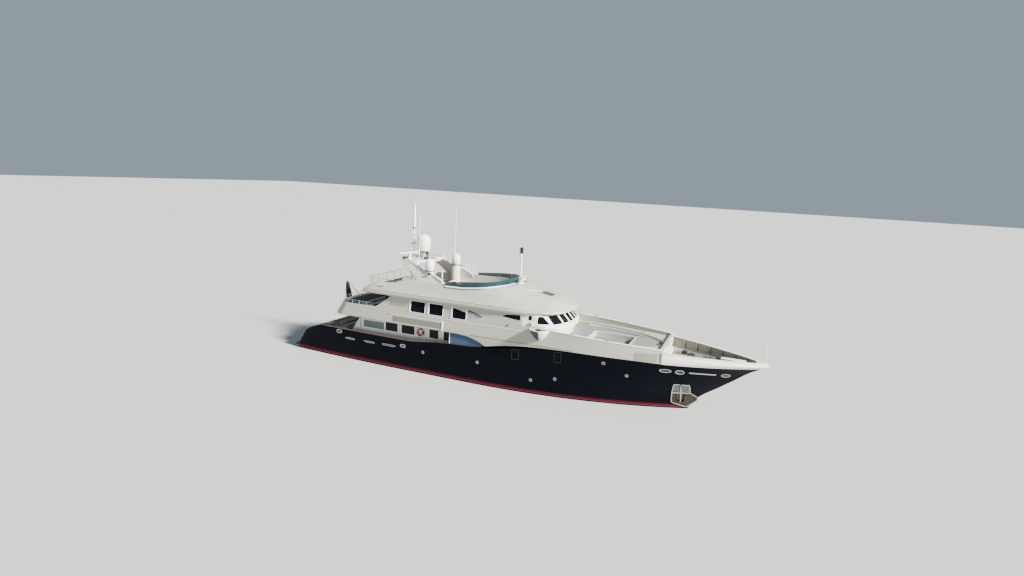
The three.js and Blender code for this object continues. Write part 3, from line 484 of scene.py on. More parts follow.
class Recipe:
    """Material built from expressions."""

    def __init__(self, name, color, roughness, metallic=0, **fixed):
        self.material = bpy.data.materials.new(name)
        self.material.use_nodes = True
        self.tree = self.material.node_tree
        self.shader = self.tree.nodes["Principled BSDF"]
        self.set("Base Color", color)
        self.set("Roughness", roughness)
        self.set("Metallic", metallic)
        for socket, value in fixed.items():
            self.set(socket.replace("_", " "), value)
        self.material.diffuse_color = (*color[:3], 1)
        self.place = None

    def node(self, kind, settings=None, inputs=None, output=0):
        made = self.tree.nodes.new(kind)
        for key, value in (settings or {}).items():
            setattr(made, key, value)
        for key, value in (inputs or {}).items():
            self.feed(made.inputs[key], value)
        return Value(self, made.outputs[output])

    def feed(self, socket, value):
        if isinstance(value, Value):
            self.tree.links.new(value.socket, socket)
        elif hasattr(value, "__len__") and len(value) == 3 and socket.type == "RGBA":
            socket.default_value = (*value, 1)
        else:
            socket.default_value = value

    def set(self, socket, value):
        self.feed(self.shader.inputs[socket], value)

    def here(self):
        """Place on the piece in the model's own metres."""
        if self.place is None:
            self.place = self.node("ShaderNodeTexCoord", output="Object")
        return self.place

    def axis(self, letter):
        return self.node("ShaderNodeSeparateXYZ", {}, {0: self.here()}, letter)

    def noise(self, scale, detail=3, stretch=(1, 1, 1), roughness=0.5):
        where = self.node("ShaderNodeMapping", {}, {"Vector": self.here(), "Scale": stretch})
        settings = {"noise_dimensions": "3D"}
        inputs = {"Vector": where, "Scale": scale, "Detail": detail, "Roughness": roughness}
        return self.node("ShaderNodeTexNoise", settings, inputs, "Fac")

    def blend(self, share, low, high):
        """Colour between two others."""
        made = self.tree.nodes.new("ShaderNodeMix")
        made.data_type = "RGBA"
        for key, value in ((0, share), (6, low), (7, high)):
            self.feed(made.inputs[key], value)
        return Value(self, made.outputs[2])

    def bump(self, height, distance, strength=1):
        normal = self.node("ShaderNodeBump", {}, {"Height": height, "Distance": distance, "Strength": strength})
        self.set("Normal", normal)


# Settings of the panel


def tint(name, description, default):
    return bpy.props.FloatVectorProperty(
        name=name, description=description, default=default, subtype="COLOR", size=3, min=0, max=1
    )


def measure(name, description, default):
    return bpy.props.FloatProperty(name=name, description=description, default=default, min=0.001, unit="LENGTH")


class YachtColours(bpy.types.PropertyGroup):
    hull: tint("Hull", "Topside paint", (0.0012, 0.002, 0.0045))
    bottom: tint("Bottom", "Paint below the waterline", (0.006, 0.007, 0.01))
    stripe: tint("Boot stripe", "Stripe just above the waterline", (0.07, 0.004, 0.013))
    # The shell is off-white; its colour is kept far darker than the white parts, partly as painted shade.
    shell: tint("Upper shell", "Paint of the upper shell and the sun deck", (0.42, 0.412, 0.352))
    white: tint("White", "Paint of the bow, domes and masts", (0.66, 0.66, 0.63))
    teak: tint("Teak", "Weathered planks", (0.2, 0.165, 0.13))
    varnish: tint("Varnish", "Varnished cap rails and tables", (0.09, 0.035, 0.022))
    nonskid: tint("Foredeck", "Coarse paint of the foredeck", (0.17, 0.185, 0.2))
    glass: tint("Glass", "Dark window glass", (0.003, 0.004, 0.0055))
    screen: tint("Windscreen", "Glass round the sun deck", (0.008, 0.035, 0.045))
    cushion: tint("Cushions", "Seat covers", (0.5, 0.475, 0.42))
    ring: tint("Life rings", "Life ring covers", (0.26, 0.022, 0.012))
    ensign: tint("Ensign", "Cloth of the ensign", (0.018, 0.0035, 0.013))


class YachtSizes(bpy.types.PropertyGroup):
    stripe_low: measure("Stripe foot", "Height of the boot stripe's lower edge on the ship", 0.2)
    stripe_high: measure("Stripe top", "Height of the boot stripe's upper edge on the ship", 0.46)
    plank: measure("Plank width", "Width of a deck plank on the ship", 0.11)
    portlight: measure("Portlight", "Radius of a portlight on the ship", 0.16)
    rail: measure("Rail radius", "Radius of a guard rail on the ship", 0.03)


class YachtStage(bpy.types.PropertyGroup):
    floor: tint("Floor", "Colour of the floor", (0.42, 0.43, 0.44))
    sky: bpy.props.FloatProperty(name="Sky light", description="Strength of the even light", default=0.42, min=0)
    key: bpy.props.FloatProperty(name="Key light", description="Strength of the key light", default=20, min=0)
    lens: bpy.props.FloatProperty(name="Lens", description="Focal length", default=20.74, unit="CAMERA")


def colours():
    return bpy.context.scene.yacht_colours


def sizes():
    return bpy.context.scene.yacht_sizes


# Finishes


def shaded(colour, share):
    return [c * share for c in colour]


def mix_value(share, low, high):
    """Number between two others."""
    return share * high + (1 - share) * low


def hull_paint(name, topside):
    """Dark gloss topsides with salt on them, a boot stripe with a painted highlight on its lower half, a pale line and
    the paint below the waterline.
    """
    colour, size = colours(), sizes()
    r = Recipe(name, topside, 0.22, IOR=1.45, Specular_IOR_Level=0.06)
    z = r.axis("Z")
    low, high = size.stripe_low * SCALE, size.stripe_high * SCALE
    haze = r.noise(1.1, 4, (1, 1, 2.5)).ramp(0.35, 0.7)
    salt = r.noise(9, 5, (1, 1, 0.15)).ramp(0.5, 0.8) * z.ramp(high + 0.5, high, 0, 0.5)
    dark = r.blend(haze * 0.6, topside, shaded(topside, 1.9))
    dark = r.blend(salt * 0.05, dark, (0.1, 0.105, 0.11))
    stripe = r.blend(r.noise(14, 4).ramp(0.4, 0.7) * 0.4, tuple(colour.stripe), shaded(colour.stripe, 0.65))
    bottom = r.blend(r.noise(20, 5).ramp(0.35, 0.7), tuple(colour.bottom), shaded(colour.bottom, 1.8))
    line = r.blend(z > low - 0.018, bottom, (0.09, 0.06, 0.06))
    # Lower half of the boot stripe is 1.6 times lighter: a painted highlight.
    striped = r.blend(z > low, line, r.blend(z > (low + high) / 2, shaded(colour.stripe, 1.6), stripe))
    r.set("Base Color", r.blend(z > high, striped, dark))
    r.set("Roughness", mix_value(z > low - 0.022, 0.62, r.noise(6, 4).ramp(0.3, 0.8, 0.12, 0.2)))
    r.bump(r.noise(2.2, 2, (1, 1, 1.4)), 0.006, 0.35)
    return r


def paint(name, colour, roughness, dirt=0.1):
    """Gloss paint with a faint orange peel, patches and rain streaks."""
    r = Recipe(name, colour, roughness, Coat_Weight=0.25, Coat_Roughness=0.08)
    patches = r.noise(1.3, 5, (1, 1, 1.6)).ramp(0.35, 0.7)
    streaks = r.noise(7, 4, (1, 1, 0.08)).ramp(0.52, 0.8)
    base = r.blend(patches * dirt, colour, shaded(colour, 0.82))
    r.set("Base Color", r.blend(streaks * dirt, base, (0.42, 0.4, 0.35)))
    r.set("Roughness", patches.ramp(0, 1, roughness * 0.85, roughness * 1.25))
    r.bump(r.noise(60, 2) * 0.25 + r.noise(2.5, 2), 0.002, 0.3)
    return r


def varied(name, colour, roughness, metallic=0, tone=None, rough=None, bump=None, coat=None):
    """Finish that noise makes uneven.

    Tone: noise, its low and high, share, and the other colour or a shade of the first. Rough: noise, its low and
    high, and the roughness at each. Bump: noise, distance, strength, and low and high if only those count.
    """
    fixed = {"Coat_Weight": coat[0], "Coat_Roughness": coat[1]} if coat else {}
    r = Recipe(name, colour, roughness, metallic, **fixed)
    if tone:
        noise, low, high, share, other = tone
        other = other if isinstance(other, tuple) else shaded(colour, other)
        r.set("Base Color", r.blend(r.noise(*noise).ramp(low, high) * share, colour, other))
    if rough:
        noise, *ends = rough
        r.set("Roughness", r.noise(*noise).ramp(*ends))
    if bump:
        noise, distance, strength, *ends = bump
        height = r.noise(*noise)
        r.bump(height.ramp(*ends) if ends else height, distance, strength)
    return r


def planked(name, colour, roughness, seam):
    """Planks with dark seams, butt joints, a tone of their own and grain."""
    r = Recipe(name, colour, roughness)
    rows = r.axis("Y") / (sizes().plank * SCALE) + 100
    part = rows.frac()
    tone = r.node("ShaderNodeTexWhiteNoise", {"noise_dimensions": "1D"}, {"W": rows - part}, "Value")
    seams = (part - 0.5).size() > 0.46
    joints = (r.axis("X") / 1.4 + tone * 3 + 100).frac() < 0.006
    gap = seams.most(joints)
    grain = r.noise(12, 5, (0.6, 9, 9)).ramp(0.3, 0.7)
    wood = r.blend(tone * 0.6, colour, shaded(colour, 0.72))
    wood = r.blend(grain * 0.35, wood, shaded(colour, 0.55))
    r.set("Base Color", r.blend(gap, wood, seam))
    r.bump(grain * 0.3 - gap * 0.8, 0.0015, 0.6)
    return r


def glazing(name, colour, alpha, roughness=0.04):
    r = Recipe(name, colour, roughness, IOR=1.5, Alpha=alpha, Specular_IOR_Level=0.14)
    film = r.noise(2.5, 4, (1, 1, 0.3)).ramp(0.4, 0.75)
    r.set("Roughness", film.ramp(0, 1, roughness, roughness + 0.07))
    r.set("Base Color", r.blend(film * 0.25, colour, [c * 1.8 + 0.004 for c in colour]))
    return r


def woven(name, colour, thread, roughness=0.85):
    """Cloth with a plain weave, a soft sheen and uneven wear."""
    r = Recipe(name, colour, roughness, Sheen_Weight=0.25)
    x, y, z = (r.axis(letter) * (tau / thread) for letter in "XYZ")
    weave = (x + z).math("SINE") * (y - z).math("SINE")
    tone = r.blend(r.noise(7, 5).ramp(0.4, 0.75) * 0.35, colour, shaded(colour, 0.7))
    r.set("Base Color", r.blend(weave.ramp(-1, 1, 0, 0.3), tone, shaded(colour, 0.62)))
    r.bump(weave + r.noise(26, 4) * 1.5, 0.0012, 0.6)
    return r


def lit_screen(name, colour, roughness):
    r = Recipe(name, colour, roughness)
    glow = r.noise(18, 3).ramp(0.45, 0.7)
    r.set("Emission Color", r.blend(glow, (0.005, 0.02, 0.03), (0.02, 0.09, 0.12)))
    r.set("Emission Strength", 0.4)
    return r


LAMP = 0.1, 0, ((60, 2), 0.3, 0.7, 0.3, 0.5), None, None, (0.5, 0.03)
SCUFF = 5, 5, (1, 1, 0.3)
# Slot, maker, colour or the panel's name for it, and what else the maker takes
FINISHES = {
    "hull_paint": ("hull_navy", hull_paint, "hull"),
    # Off-white shell paint, darkened as painted shade on the shell and the sun deck.
    "shell_paint": ("white", paint, "shell", 0.3, 0.22),
    "white_paint": ("white", paint, "white", 0.28),
    "bright_white": ("white", paint, (0.86, 0.86, 0.83), 0.22, 0.05),
    "louvre_paint": ("white", paint, (0.25, 0.245, 0.205), 0.45, 0.25),
    # Painted shade: inner walls of the garage, the upper deck and the houses, darker and bluer than the white outside.
    "inner_paint": ("white", paint, (0.2, 0.215, 0.225), 0.45, 0.3),
    # Painted shade for the backs of the air intakes; the foredeck lines use it too.
    "louvre_shade": ("dark", paint, (0.09, 0.085, 0.07), 0.55, 0.25),
    # Dark paint of seams, vents and scanner faces, and painted shadow in grooves and along shadowed edges.
    "groove_paint": ("dark", paint, (0.03, 0.034, 0.034), 0.5),
    # Painted shade on the aft side of the wing tubs.
    "tub_shade": ("dark", paint, (0.003, 0.014, 0.021), 0.5, 0),
    "foredeck_paint": (
        "white", varied, "nonskid", 0.75, 0, ((1.8, 5), 0.35, 0.7, 0.4, 0.8), None, ((170, 2), 0.0015, 0.7)
    ),
    "ring_cloth": ("white", varied, "ring", 0.6, 0, ((12, 4), 0.4, 0.7, 0.3, 0.6), None, ((80, 3), 0.001, 0.5)),
    "dark_plastic": (
        "dark", varied, (0.018, 0.018, 0.02), 0.45, 0, None, ((40, 3), 0.3, 0.7, 0.35, 0.6), ((220, 2), 0.0006, 0.5)
    ),
    "leather": (
        "dark", varied, (0.05, 0.035, 0.028), 0.42, 0, None, ((25, 4), 0.3, 0.7, 0.35, 0.6), ((90, 3), 0.001, 0.5)
    ),
    "steel": (
        "steel", varied, (0.62, 0.63, 0.64), 0.22, 1, ((5, 4), 0.4, 0.75, 0.35, (0.42, 0.4, 0.37)),
        ((30, 4, (1, 1, 6)), 0.3, 0.7, 0.15, 0.32),
    ),
    "mirror_steel": (
        "steel", varied, (0.16, 0.19, 0.185), 0.12, 1, ((6, 5, (1, 1, 0.3)), 0.45, 0.75, 0.6, (0.09, 0.09, 0.075)),
        ((6, 5, (1, 1, 0.3)), 0.45, 0.75, 0.1, 0.35), ((3, 2), 0.01, 0.3),
    ),
    "dark_mirror": (
        "steel", varied, (0.09, 0.085, 0.06), 0.16, 1, (SCUFF, 0.4, 0.7, 0.7, (0.035, 0.03, 0.02)),
        (SCUFF, 0.4, 0.7, 0.12, 0.35), ((3, 2), 0.01, 0.3),
    ),
    "galvanised": (
        "steel", varied, (0.5, 0.51, 0.5), 0.5, 0.7, ((26, 5), 0.35, 0.7, 0.6, (0.3, 0.29, 0.26)), None,
        ((26, 5), 0.001, 0.5, 0.35, 0.7),
    ),
    "bronze": (
        "bronze", varied, (0.5, 0.33, 0.15), 0.32, 1, ((9, 5), 0.4, 0.7, 0.6, (0.16, 0.2, 0.14)),
        ((9, 5), 0.4, 0.7, 0.25, 0.55),
    ),
    "teak_deck": ("teak", planked, "teak", 0.72, (0.03, 0.028, 0.025)),
    "varnished_teak": (
        "teak", varied, "varnish", 0.18, 0, ((14, 5, (0.5, 8, 8)), 0.3, 0.7, 0.6, 0.45), None, None, (0.7, 0.05)
    ),
    "dark_glass": ("glass", glazing, "glass", 0.985),
    "helm_glass": ("glass", glazing, "glass", 0.85),
    "screen_glass": ("glass", glazing, "screen", 0.78),
    "hatch_pane": ("glass", glazing, (0.05, 0.06, 0.05), 0.98, 0.2),
    # Blue tint: a painted reflection of the sky.
    "blue_glass": ("glass", glazing, (0.045, 0.085, 0.16), 0.9, 0.08),
    "pale_glass": ("glass", glazing, (0.3, 0.33, 0.36), 0.95, 0.1),
    "teal_glass": ("glass", glazing, (0.13, 0.19, 0.165), 0.92, 0.08),
    "cushion_cloth": ("cushion", woven, "cushion", 0.006),
    "ensign_cloth": ("cloth", woven, "ensign", 0.004, 0.9),
    "dark_wicker": ("dark", woven, (0.045, 0.035, 0.03), 0.02, 0.7),
    "green_lamp": ("glass", varied, (0.01, 0.22, 0.06), *LAMP),
    "red_lamp": ("glass", varied, (0.3, 0.01, 0.01), *LAMP),
    "clear_lamp": ("glass", varied, (0.55, 0.56, 0.55), *LAMP),
    "screen_face": ("dark", lit_screen, (0.01, 0.014, 0.02), 0.12),
}
MATERIALS = {}


def finished(name):
    """Makes a finish once and hands out the same one afterwards."""
    if name not in MATERIALS:
        _, maker, colour, *values = FINISHES[name]
        colour = tuple(getattr(colours(), colour)) if isinstance(colour, str) else colour
        MATERIALS[name] = maker(name, colour, *values).material
    return MATERIALS[name]


# Surfaces of the ship


def on_hull(side):
    return lambda x, z, out: (x, side * (half_breadth(x, z) + out), z)


SHELL_TOP = [
    (-20.3, 6.3), (-14, 6.38), (-13.6, 6.6), (-11.9, SUN_BOTTOM), (2.9, SUN_BOTTOM), (2.91, 6.72), (7.5, 6.65),
    (BREAK, 6.2),
]
shell_foot = Fair([(-3.6, 4.95), (-3, 4.91), (-2.31, 4.77), (-1.63, 4.56), (-1.15, 4.34), (-0.85, 4.1)])
shell_end = Fair([(-20.3, 0.18), (-20.15, 0.46), (-19.9, 0.68), (-19.5, 0.86), (-19, 0.965), (-18.4, 1)])
SHELL_WALL = 0.15


def shell_low(x):
    if x < -3.6:
        return UPPER_BOTTOM
    return max(shell_foot(x), sheer(x)) if x < -0.85 else sheer(x)


def shell_rake(x):
    """Forward lean of the shell's aft end for each metre of height."""
    return 0.57 * clamp((-16 - x) / 3)


def shell_half(x, z):
    share = shell_end(x)
    lean = mix(0.13, 0.03, clamp((x - 3) / 5))
    if z < SHEER_LEVEL:
        return half_breadth(x, z) * share
    return (half_breadth(x, SHEER_LEVEL) - lean * (z - SHEER_LEVEL)) * share


def raked_half(x, z):
    """Half-breadth at a place on the shell's raked side."""
    station = x
    for _ in range(5):
        station = x - shell_rake(station) * (z - UPPER_BOTTOM)
    return shell_half(station, z)


def on_shell(side):
    return lambda x, z, out: (x, side * (raked_half(x, z) + out), z)


def on_wall(side, y):
    return lambda x, z, out: (x, side * (y + out), z)


def alike_both_sides(rings):
    """Closed body from the port halves of its rings, each from its lowest point to its highest."""
    flat = [[(x, 0, z) for x, y, z in rings[end]] for end in (0, -1)]
    full = [
        [(ring[0][0], 0, ring[0][2]), *ring, (ring[-1][0], 0, ring[-1][2])] for ring in (flat[0], *rings, flat[1])
    ]
    return both_sides(grid_of(range(len(full)), range(len(full[0])), lambda i, k: full[i][k]))


def room(xs, floor, ceiling, wall, half):
    """Space inside the shell of the hull or a bulwark, above a floor."""
    return alike_both_sides([[(x, half(x, z) - wall, z) for z in spread(floor, ceiling, 5)] for x in xs])


def cover(outline, low, high, lay, step=0.4):
    """Sheet inside an outline on a surface; lay(a, b, out) puts a point on it."""
    bm = plate(outline, low, high)
    for axis in (0, 1):
        values = [vert.co[axis] for vert in bm.verts]
        start, end = min(values), max(values)
        normal = Vector((1 - axis, axis, 0))
        for at in spread(start, end, int((end - start) / step) + 1)[1:-1]:
            geometry = bm.verts[:] + bm.edges[:] + bm.faces[:]
            bmesh.ops.bisect_plane(bm, geom=geometry, dist=1e-6, plane_co=normal * at, plane_no=normal)
    for vert in bm.verts:
        vert.co = lay(*vert.co)
    bmesh.ops.recalc_face_normals(bm, faces=bm.faces)
    return bm


def rim(outline, width, low, high, lay):
    """Raised frame round an outline on a surface."""
    count = len(outline)
    area = sum(a[0] * b[1] - b[0] * a[1] for a, b in zip(outline, [*outline[1:], outline[0]]))
    way = 1 if area > 0 else -1

    def place(i, k):
        (a0, b0), (a1, b1) = outline[i - 1], outline[(i + 1) % count]
        da, db = a1 - a0, b1 - b0
        length = hypot(da, db) or 1
        a, b = outline[i]
        wide = (0, width, width, 0)[k]
        return lay(a + way * db / length * wide, b - way * da / length * wide, (low, low, high, high)[k])

    return weld(grid_of([*range(count), 0], [0, 1, 2, 3, 0], place))


def disc(x, z, radius, stretch=1, sides=20):
    """Round or oval outline."""
    return [(x + radius * stretch * cos(a), z + radius * sin(a)) for a in spread(0, tau, sides)[:-1]]


def rectangle(x0, x1, z0, z1, radius=0.1):
    return eased([(x0, z0), (x1, z0), (x1, z1), (x0, z1)], radius)


def upright(bm):
    """Stands a level shape up so that it faces to port."""
    return moved(bm, turn=(pi / 2, "X"))


def each_side(build):
    """Both sides' shapes of a builder that takes the sign of y."""
    return [shape for side in BOTH for shape in build(side)]


# Hull

# Shares of the keel's depth below the water, and of the sheer's height above it
DEPTHS = [1, 0.985, 0.95, 0.88, 0.78, 0.65, 0.5, 0.35, 0.2, 0.08]
HEIGHTS = spread(0, 1, 14)
STERN_ROUND = 0.35


def hull_solid(grow=0):
    corner = [(0, STERN_ROUND * (1 - cos(a)), STERN_ROUND * (1 - sin(a))) for a in spread(0, pi / 2, 5)]
    side = [(1 - (1 - s) ** 1.25, 0, 0) for s in spread(0.009, 1, 110)]
    rings = []
    for s, push, narrow in [*corner, *side]:
        nominal = mix(HULL_AFT, HULL_FORE, s)
        levels = [keel(nominal) * d for d in DEPTHS] + [sheer(nominal) * h for h in HEIGHTS]
        ring = []
        for i, z in enumerate(levels):
            x = mix(stern(z), stem(z), s)
            lift = grow if i == len(levels) - 1 else 0
            ring.append((x + push, max(0.05, half_breadth(x, z) + grow - narrow), z + lift))
        rings.append(ring)
    return alike_both_sides(rings)


STAIR = {"aft": -25.3, "fore": -21, "inner": 2.5, "outer": 3.5, "rises": 8, "low": 0.5}
GARAGE = {"aft": -25.3, "fore": -19.6, "half": 2.1, "floor": 0.65, "ceiling": 2.1}
RUDDER = {"x": -21.4, "y": 1.9, "stock": 0.09, "top": -0.15, "blade_top": -0.86, "blade_low": -2.35}


def stair_treads():
    """Aft x, fore x and height of each tread."""
    run = (STAIR["fore"] - STAIR["aft"]) / STAIR["rises"]
    for i in range(STAIR["rises"]):
        x = STAIR["aft"] + run * i
        yield x, x + run, mix(STAIR["low"], MAIN_DECK, i / (STAIR["rises"] - 1))


def sheer_line(aft, fore):
    """Points of x and height along the hull's real top edge."""
    line = []
    for s in spread(0, 1, 130):
        z = sheer(mix(HULL_AFT, HULL_FORE, s))
        line.append((mix(stern(z), stem(z), s), z))
    return [(x, z) for x, z in line if aft <= x <= fore]


def build_hull():
    main = room([-20.8, *spread(-20.2, -3.1, 14), -2.5], MAIN_DECK, 7, 0.16, half_breadth)
    bow = room([16.3, *spread(17, 23, 9), 23.4], MOORING_DECK, 7, 0.14, half_breadth)
    half = GARAGE["half"]
    garage = block((GARAGE["aft"], GARAGE["fore"]), (-half, half), (GARAGE["floor"], GARAGE["ceiling"]))
    bores = each_side(lambda side: [
        rod((RUDDER["x"], side * RUDDER["y"], -6), (RUDDER["x"], side * RUDDER["y"], RUDDER["top"]), 0.106)
    ])
    shape = carved(hull_solid(), tinted(main, 1), tinted(bow, 1), tinted(garage, 2), *bores)
    for side in BOTH:
        y = (side * STAIR["inner"], side * STAIR["outer"])
        steps = [tinted(block((x0, x1 + 0.2), y, (z, 7)), 1) for x0, x1, z in stair_treads()]
        shape = carved(shape, *steps)
    # The garage walls take the darker inner finish: painted shade.
    add_piece("hull_body", shape, "hull_paint white_paint inner_paint", "hull", sharp=28)
    treads = []
    for side in BOTH:
        y = (side * (STAIR["inner"] + 0.06), side * (STAIR["outer"] - 0.06))
        for x0, x1, z in stair_treads():
            aft = max(x0 + 0.04, stern(z) + 0.1)
            if x1 - aft > 0.1:
                treads.append(block((aft, x1), y, (z, z + 0.025), 0.01))
    add_piece("stair_treads", treads, "teak_deck")
    path = [(x, -(half_breadth(x, z) - 0.09), z + 0.02) for x, z in sheer_line(-21.2, -2.2)]
    across = [(x, y, 3.425) for x, y in ((-21, -2.4), (-21, 2.4))]
    rail = joined(both_sides(swept(path, slab(0.24, 0.045))), swept(across, slab(0.3, 0.06)))
    add_piece("cap_rail", rail, "varnished_teak")


class YACHT_OT_hull(bpy.types.Operator):
    """Hull with its deck wells, garage, stern stairs and cap rails"""

    bl_idname = "yacht.hull"
    bl_label = "Hull"

    def execute(self, context):
        build_hull()
        return {"FINISHED"}


# Fittings of the topsides

# Bright-rimmed openings in the dark topsides: x, height, radius, stretch along the ship
FAIRLEADS = [
    (16.45, 4.25, 0.13, 3.6), (17.67, 4.2, 0.17, 2), (21.5, 4.05, 0.14, 2.4), (-18.68, 2.98, 0.16, 2),
    (-10.3, 2.66, 0.13, 2.2), (-17.2, 2.36, 0.07, 9), (-14.6, 2.4, 0.07, 10), (-12.1, 2.45, 0.07, 12),
]
PORTLIGHTS = [(13.13, 3.33), (11.05, 4.35), (-7.86, 2.36), (-1.58, 2.36), (4.1, 1.5), (6.5, 2)]
BRIGHT_STRIP = [(18.45, 4.14), (20.68, 4.06), (20.68, 4.17), (18.45, 4.25)]
# Seams of the shell doors: aft x, fore x, low height, high height
SHELL_DOORS = [(2.1, 2.8, 3.35, 4.32), (6.4, 7.05, 3.75, 4.75)]


def build_topsides():
    rims, holes = [], []
    for side in BOTH:
        lay = on_hull(side)
        for x, z, radius, stretch in FAIRLEADS:
            outline = disc(x, z, radius, stretch, 28)
            rims.append(rim(outline, 0.055 if radius > 0.1 else 0.028, 0, 0.035, lay))
            holes.append(cover(outline, 0, 0.012, lay))
        for x, z in PORTLIGHTS:
            outline = disc(x, z, sizes().portlight * 0.7)
            rims.append(rim(outline, 0.04, 0, 0.03, lay))
            holes.append(cover(outline, 0, 0.015, lay))
        rims.append(cover(BRIGHT_STRIP, 0, 0.03, lay))
    add_piece("fairlead_rims", rims, "steel")
    add_piece("fairlead_openings", holes, "dark_plastic")
    seams = []
    for side in BOTH:
        for x0, x1, z0, z1 in SHELL_DOORS:
            seams.append(rim(rectangle(x0, x1, z0, z1, 0.08), 0.02, -0.005, 0.006, on_hull(side)))
    add_piece("shell_door_seams", seams, "groove_paint")


class YACHT_OT_topsides(bpy.types.Operator):
    """Fairleads, portlights, shell-door seams and a bright strip on the dark topsides"""

    bl_idname = "yacht.topsides"
    bl_label = "Topside fittings"

    def execute(self, context):
        build_topsides()
        return {"FINISHED"}


# Stern

PLATFORM = [(-26.1, 2.3), (-26, 3.1), (-25.7, 3.6), (-25.2, 3.85), (-23.5, 3.9)]
PLATFORM_LOW, PLATFORM_TOP = 0.16, 0.32


def build_stern():
    outline = eased(whole_plan(PLATFORM), 0.3)
    body = plate(outline, PLATFORM_LOW, PLATFORM_TOP - 0.015)
    rounded_edges(body, 0.03)
    add_piece("platform_body", carved(body, hull_solid(0.002)), "dark_plastic", "swim_platform")
    inner = [(x + 0.12 * (x < -25), y * 0.965) for x, y in outline]
    teak = plate(inner, PLATFORM_TOP - 0.015, PLATFORM_TOP)
    add_piece("platform_teak", carved(teak, hull_solid(0.02)), "teak_deck")
    strip = tube([(x - 0.005, y * 1.002, 0.23) for x, y in flat_path(PLATFORM)], 0.028)
    add_piece("platform_strip", both_sides(strip), "steel")
    low, high = GARAGE["floor"] + 0.02, GARAGE["ceiling"] - 0.02
    hinge_x = -24.01667
    outer = [(stern(z), z) for z in spread(low, high - 0.18, 12)]
    leaf = plate(
        [*outer, (hinge_x - 0.023, high - 0.08), (hinge_x, high), (hinge_x + 0.11, high), (stern(low) + 0.14, low)],
        -2.084, 2.084, "Y"
    )
    rounded_edges(leaf, 0.012, 1, 0.9)
    pins = [rod((hinge_x, y - 0.2, 2.08), (hinge_x, y + 0.2, 2.08), 0.019) for y in (-1.5, 1.5)]
    add_piece("garage_door_leaf", [leaf, *pins], "hull_paint", "transom_door", "garage_door")
    grips = []
    for y in (-1.2, 1.2):
        x = stern(0.95) - 0.035
        path = [(x + step, y + way, 0.95) for step, way in ((0.04, -0.2), (0, -0.15), (0, 0.15), (0.04, 0.2))]
        grips.append(tube(smooth_path(path), 0.014))
    add_piece("garage_door_grips", grips, "steel", body="garage_door")
    lining = [
        block((-24.4, -19.7), (side * 2.06, side * 2.09), (z, z + 0.05), 0.01) for side in BOTH for z in (1, 1.4, 1.8)
    ]
    lining += [block((-24.2, -19.8), (y - 0.04, y + 0.04), (0.65, 0.69), 0.01) for y in (-0.9, 0.9)]
    add_piece("garage_rails", lining, "steel")


class YACHT_OT_stern(bpy.types.Operator):
    """Swim platform with its teak, and the garage door in the transom"""

    bl_idname = "yacht.stern"
    bl_label = "Stern"

    def execute(self, context):
        build_stern()
        return {"FINISHED"}


# Running gear

SHAFT = {"y": 1.9, "z": -1.62, "radius": 0.13, "aft": -19.8, "fore": -9}
PROPELLER = {"radius": 0.78, "blades": 5, "length": 0.42}
# Blade sections: share of the radius, chord, pitch angle, thickness
blade_section = Fair([(0.12, 0.16, 1.05, 0.05), (0.5, 0.42, 0.7, 0.03), (0.85, 0.4, 0.5, 0.018), (1, 0.1, 0.42, 0.008)])


def propeller(side):
    shapes = []
    for blade in range(PROPELLER["blades"]):
        start = tau * blade / PROPELLER["blades"]

        def place(share, k, start=start):
            chord, pitch, thick = (blade_section(share, column) for column in (1, 2, 3))
            a = tau * k / 16
            along, face = 0.5 * cos(a), 0.5 * thick * sin(a)
            r = share * PROPELLER["radius"]
            swing = start + side * chord * along * cos(pitch) / max(r, 0.2)
            return (chord * along * sin(pitch) + face, r * cos(swing), r * sin(swing))

        shapes.append(closed_up(grid_of(spread(0.12, 1, 14), [*range(16), 0], place)))
    hub = turned([(0, -0.21), (0.12, -0.21), (0.15, -0.1), (0.17, 0.1), (0.17, 0.21), (0, 0.21)], steps=32)
    shapes.append(moved(hub, turn=(pi / 2, "Y")))
    whole = joined(*shapes)
    return moved(whole, (SHAFT["aft"] - 0.0006 - PROPELLER["length"] / 2, side * SHAFT["y"], SHAFT["z"]))


def rudder_blade(side):
    def place(z, k):
        share = (RUDDER["blade_top"] - z) / (RUDDER["blade_top"] - RUDDER["blade_low"])
        aft, fore = mix(-0.75, -0.62, share), mix(0.36, 0.3, share)
        a = tau * k / 28
        along = 0.5 + 0.5 * cos(a)
        thick = 0.08 * sin(a) * (0.35 + 0.9 * along - 0.45 * along**2)
        return (RUDDER["x"] + mix(aft, fore, along), side * RUDDER["y"] + thick, z)

    blade = closed_up(grid_of(spread(RUDDER["blade_top"], RUDDER["blade_low"], 10), [*range(28), 0], place))
    x, y = RUDDER["x"], side * RUDDER["y"]
    return joined(blade, rod((x, y, RUDDER["blade_top"] - 0.2), (x, y, RUDDER["top"] - 0.001), RUDDER["stock"]))


def build_running_gear():
    for name, side in SIDES.items():
        y, z = side * SHAFT["y"], SHAFT["z"]
        letter = name[0]
        tail = [rod((SHAFT["aft"], y, z), (SHAFT["fore"], y, z), SHAFT["radius"], sides=24)]
        tail.append(rod((SHAFT["aft"], y, z), (-19, y, z), 0.18, 0.17, 24))
        for lean in (-0.55, 0.55):
            strut = plate(disc(0, 0, 0.04, 5.6, 24), 0, 1)
            for vert in strut.verts:
                up = vert.co.z
                vert.co = (-19.42 + vert.co.x, y + vert.co.y + lean * up, mix(z, 0.2, up))
            tail.append(strut)
        add_piece(f"bossing_{name}", tail, "bronze", f"shaft_bossing_{name}")
        add_piece(f"screw_{name}", propeller(side), "bronze", f"propeller_{name}", f"propeller_{letter}")
        add_piece(f"rudder_blade_{name}", rudder_blade(side), "hull_paint", f"rudder_{name}", f"rudder_{letter}")


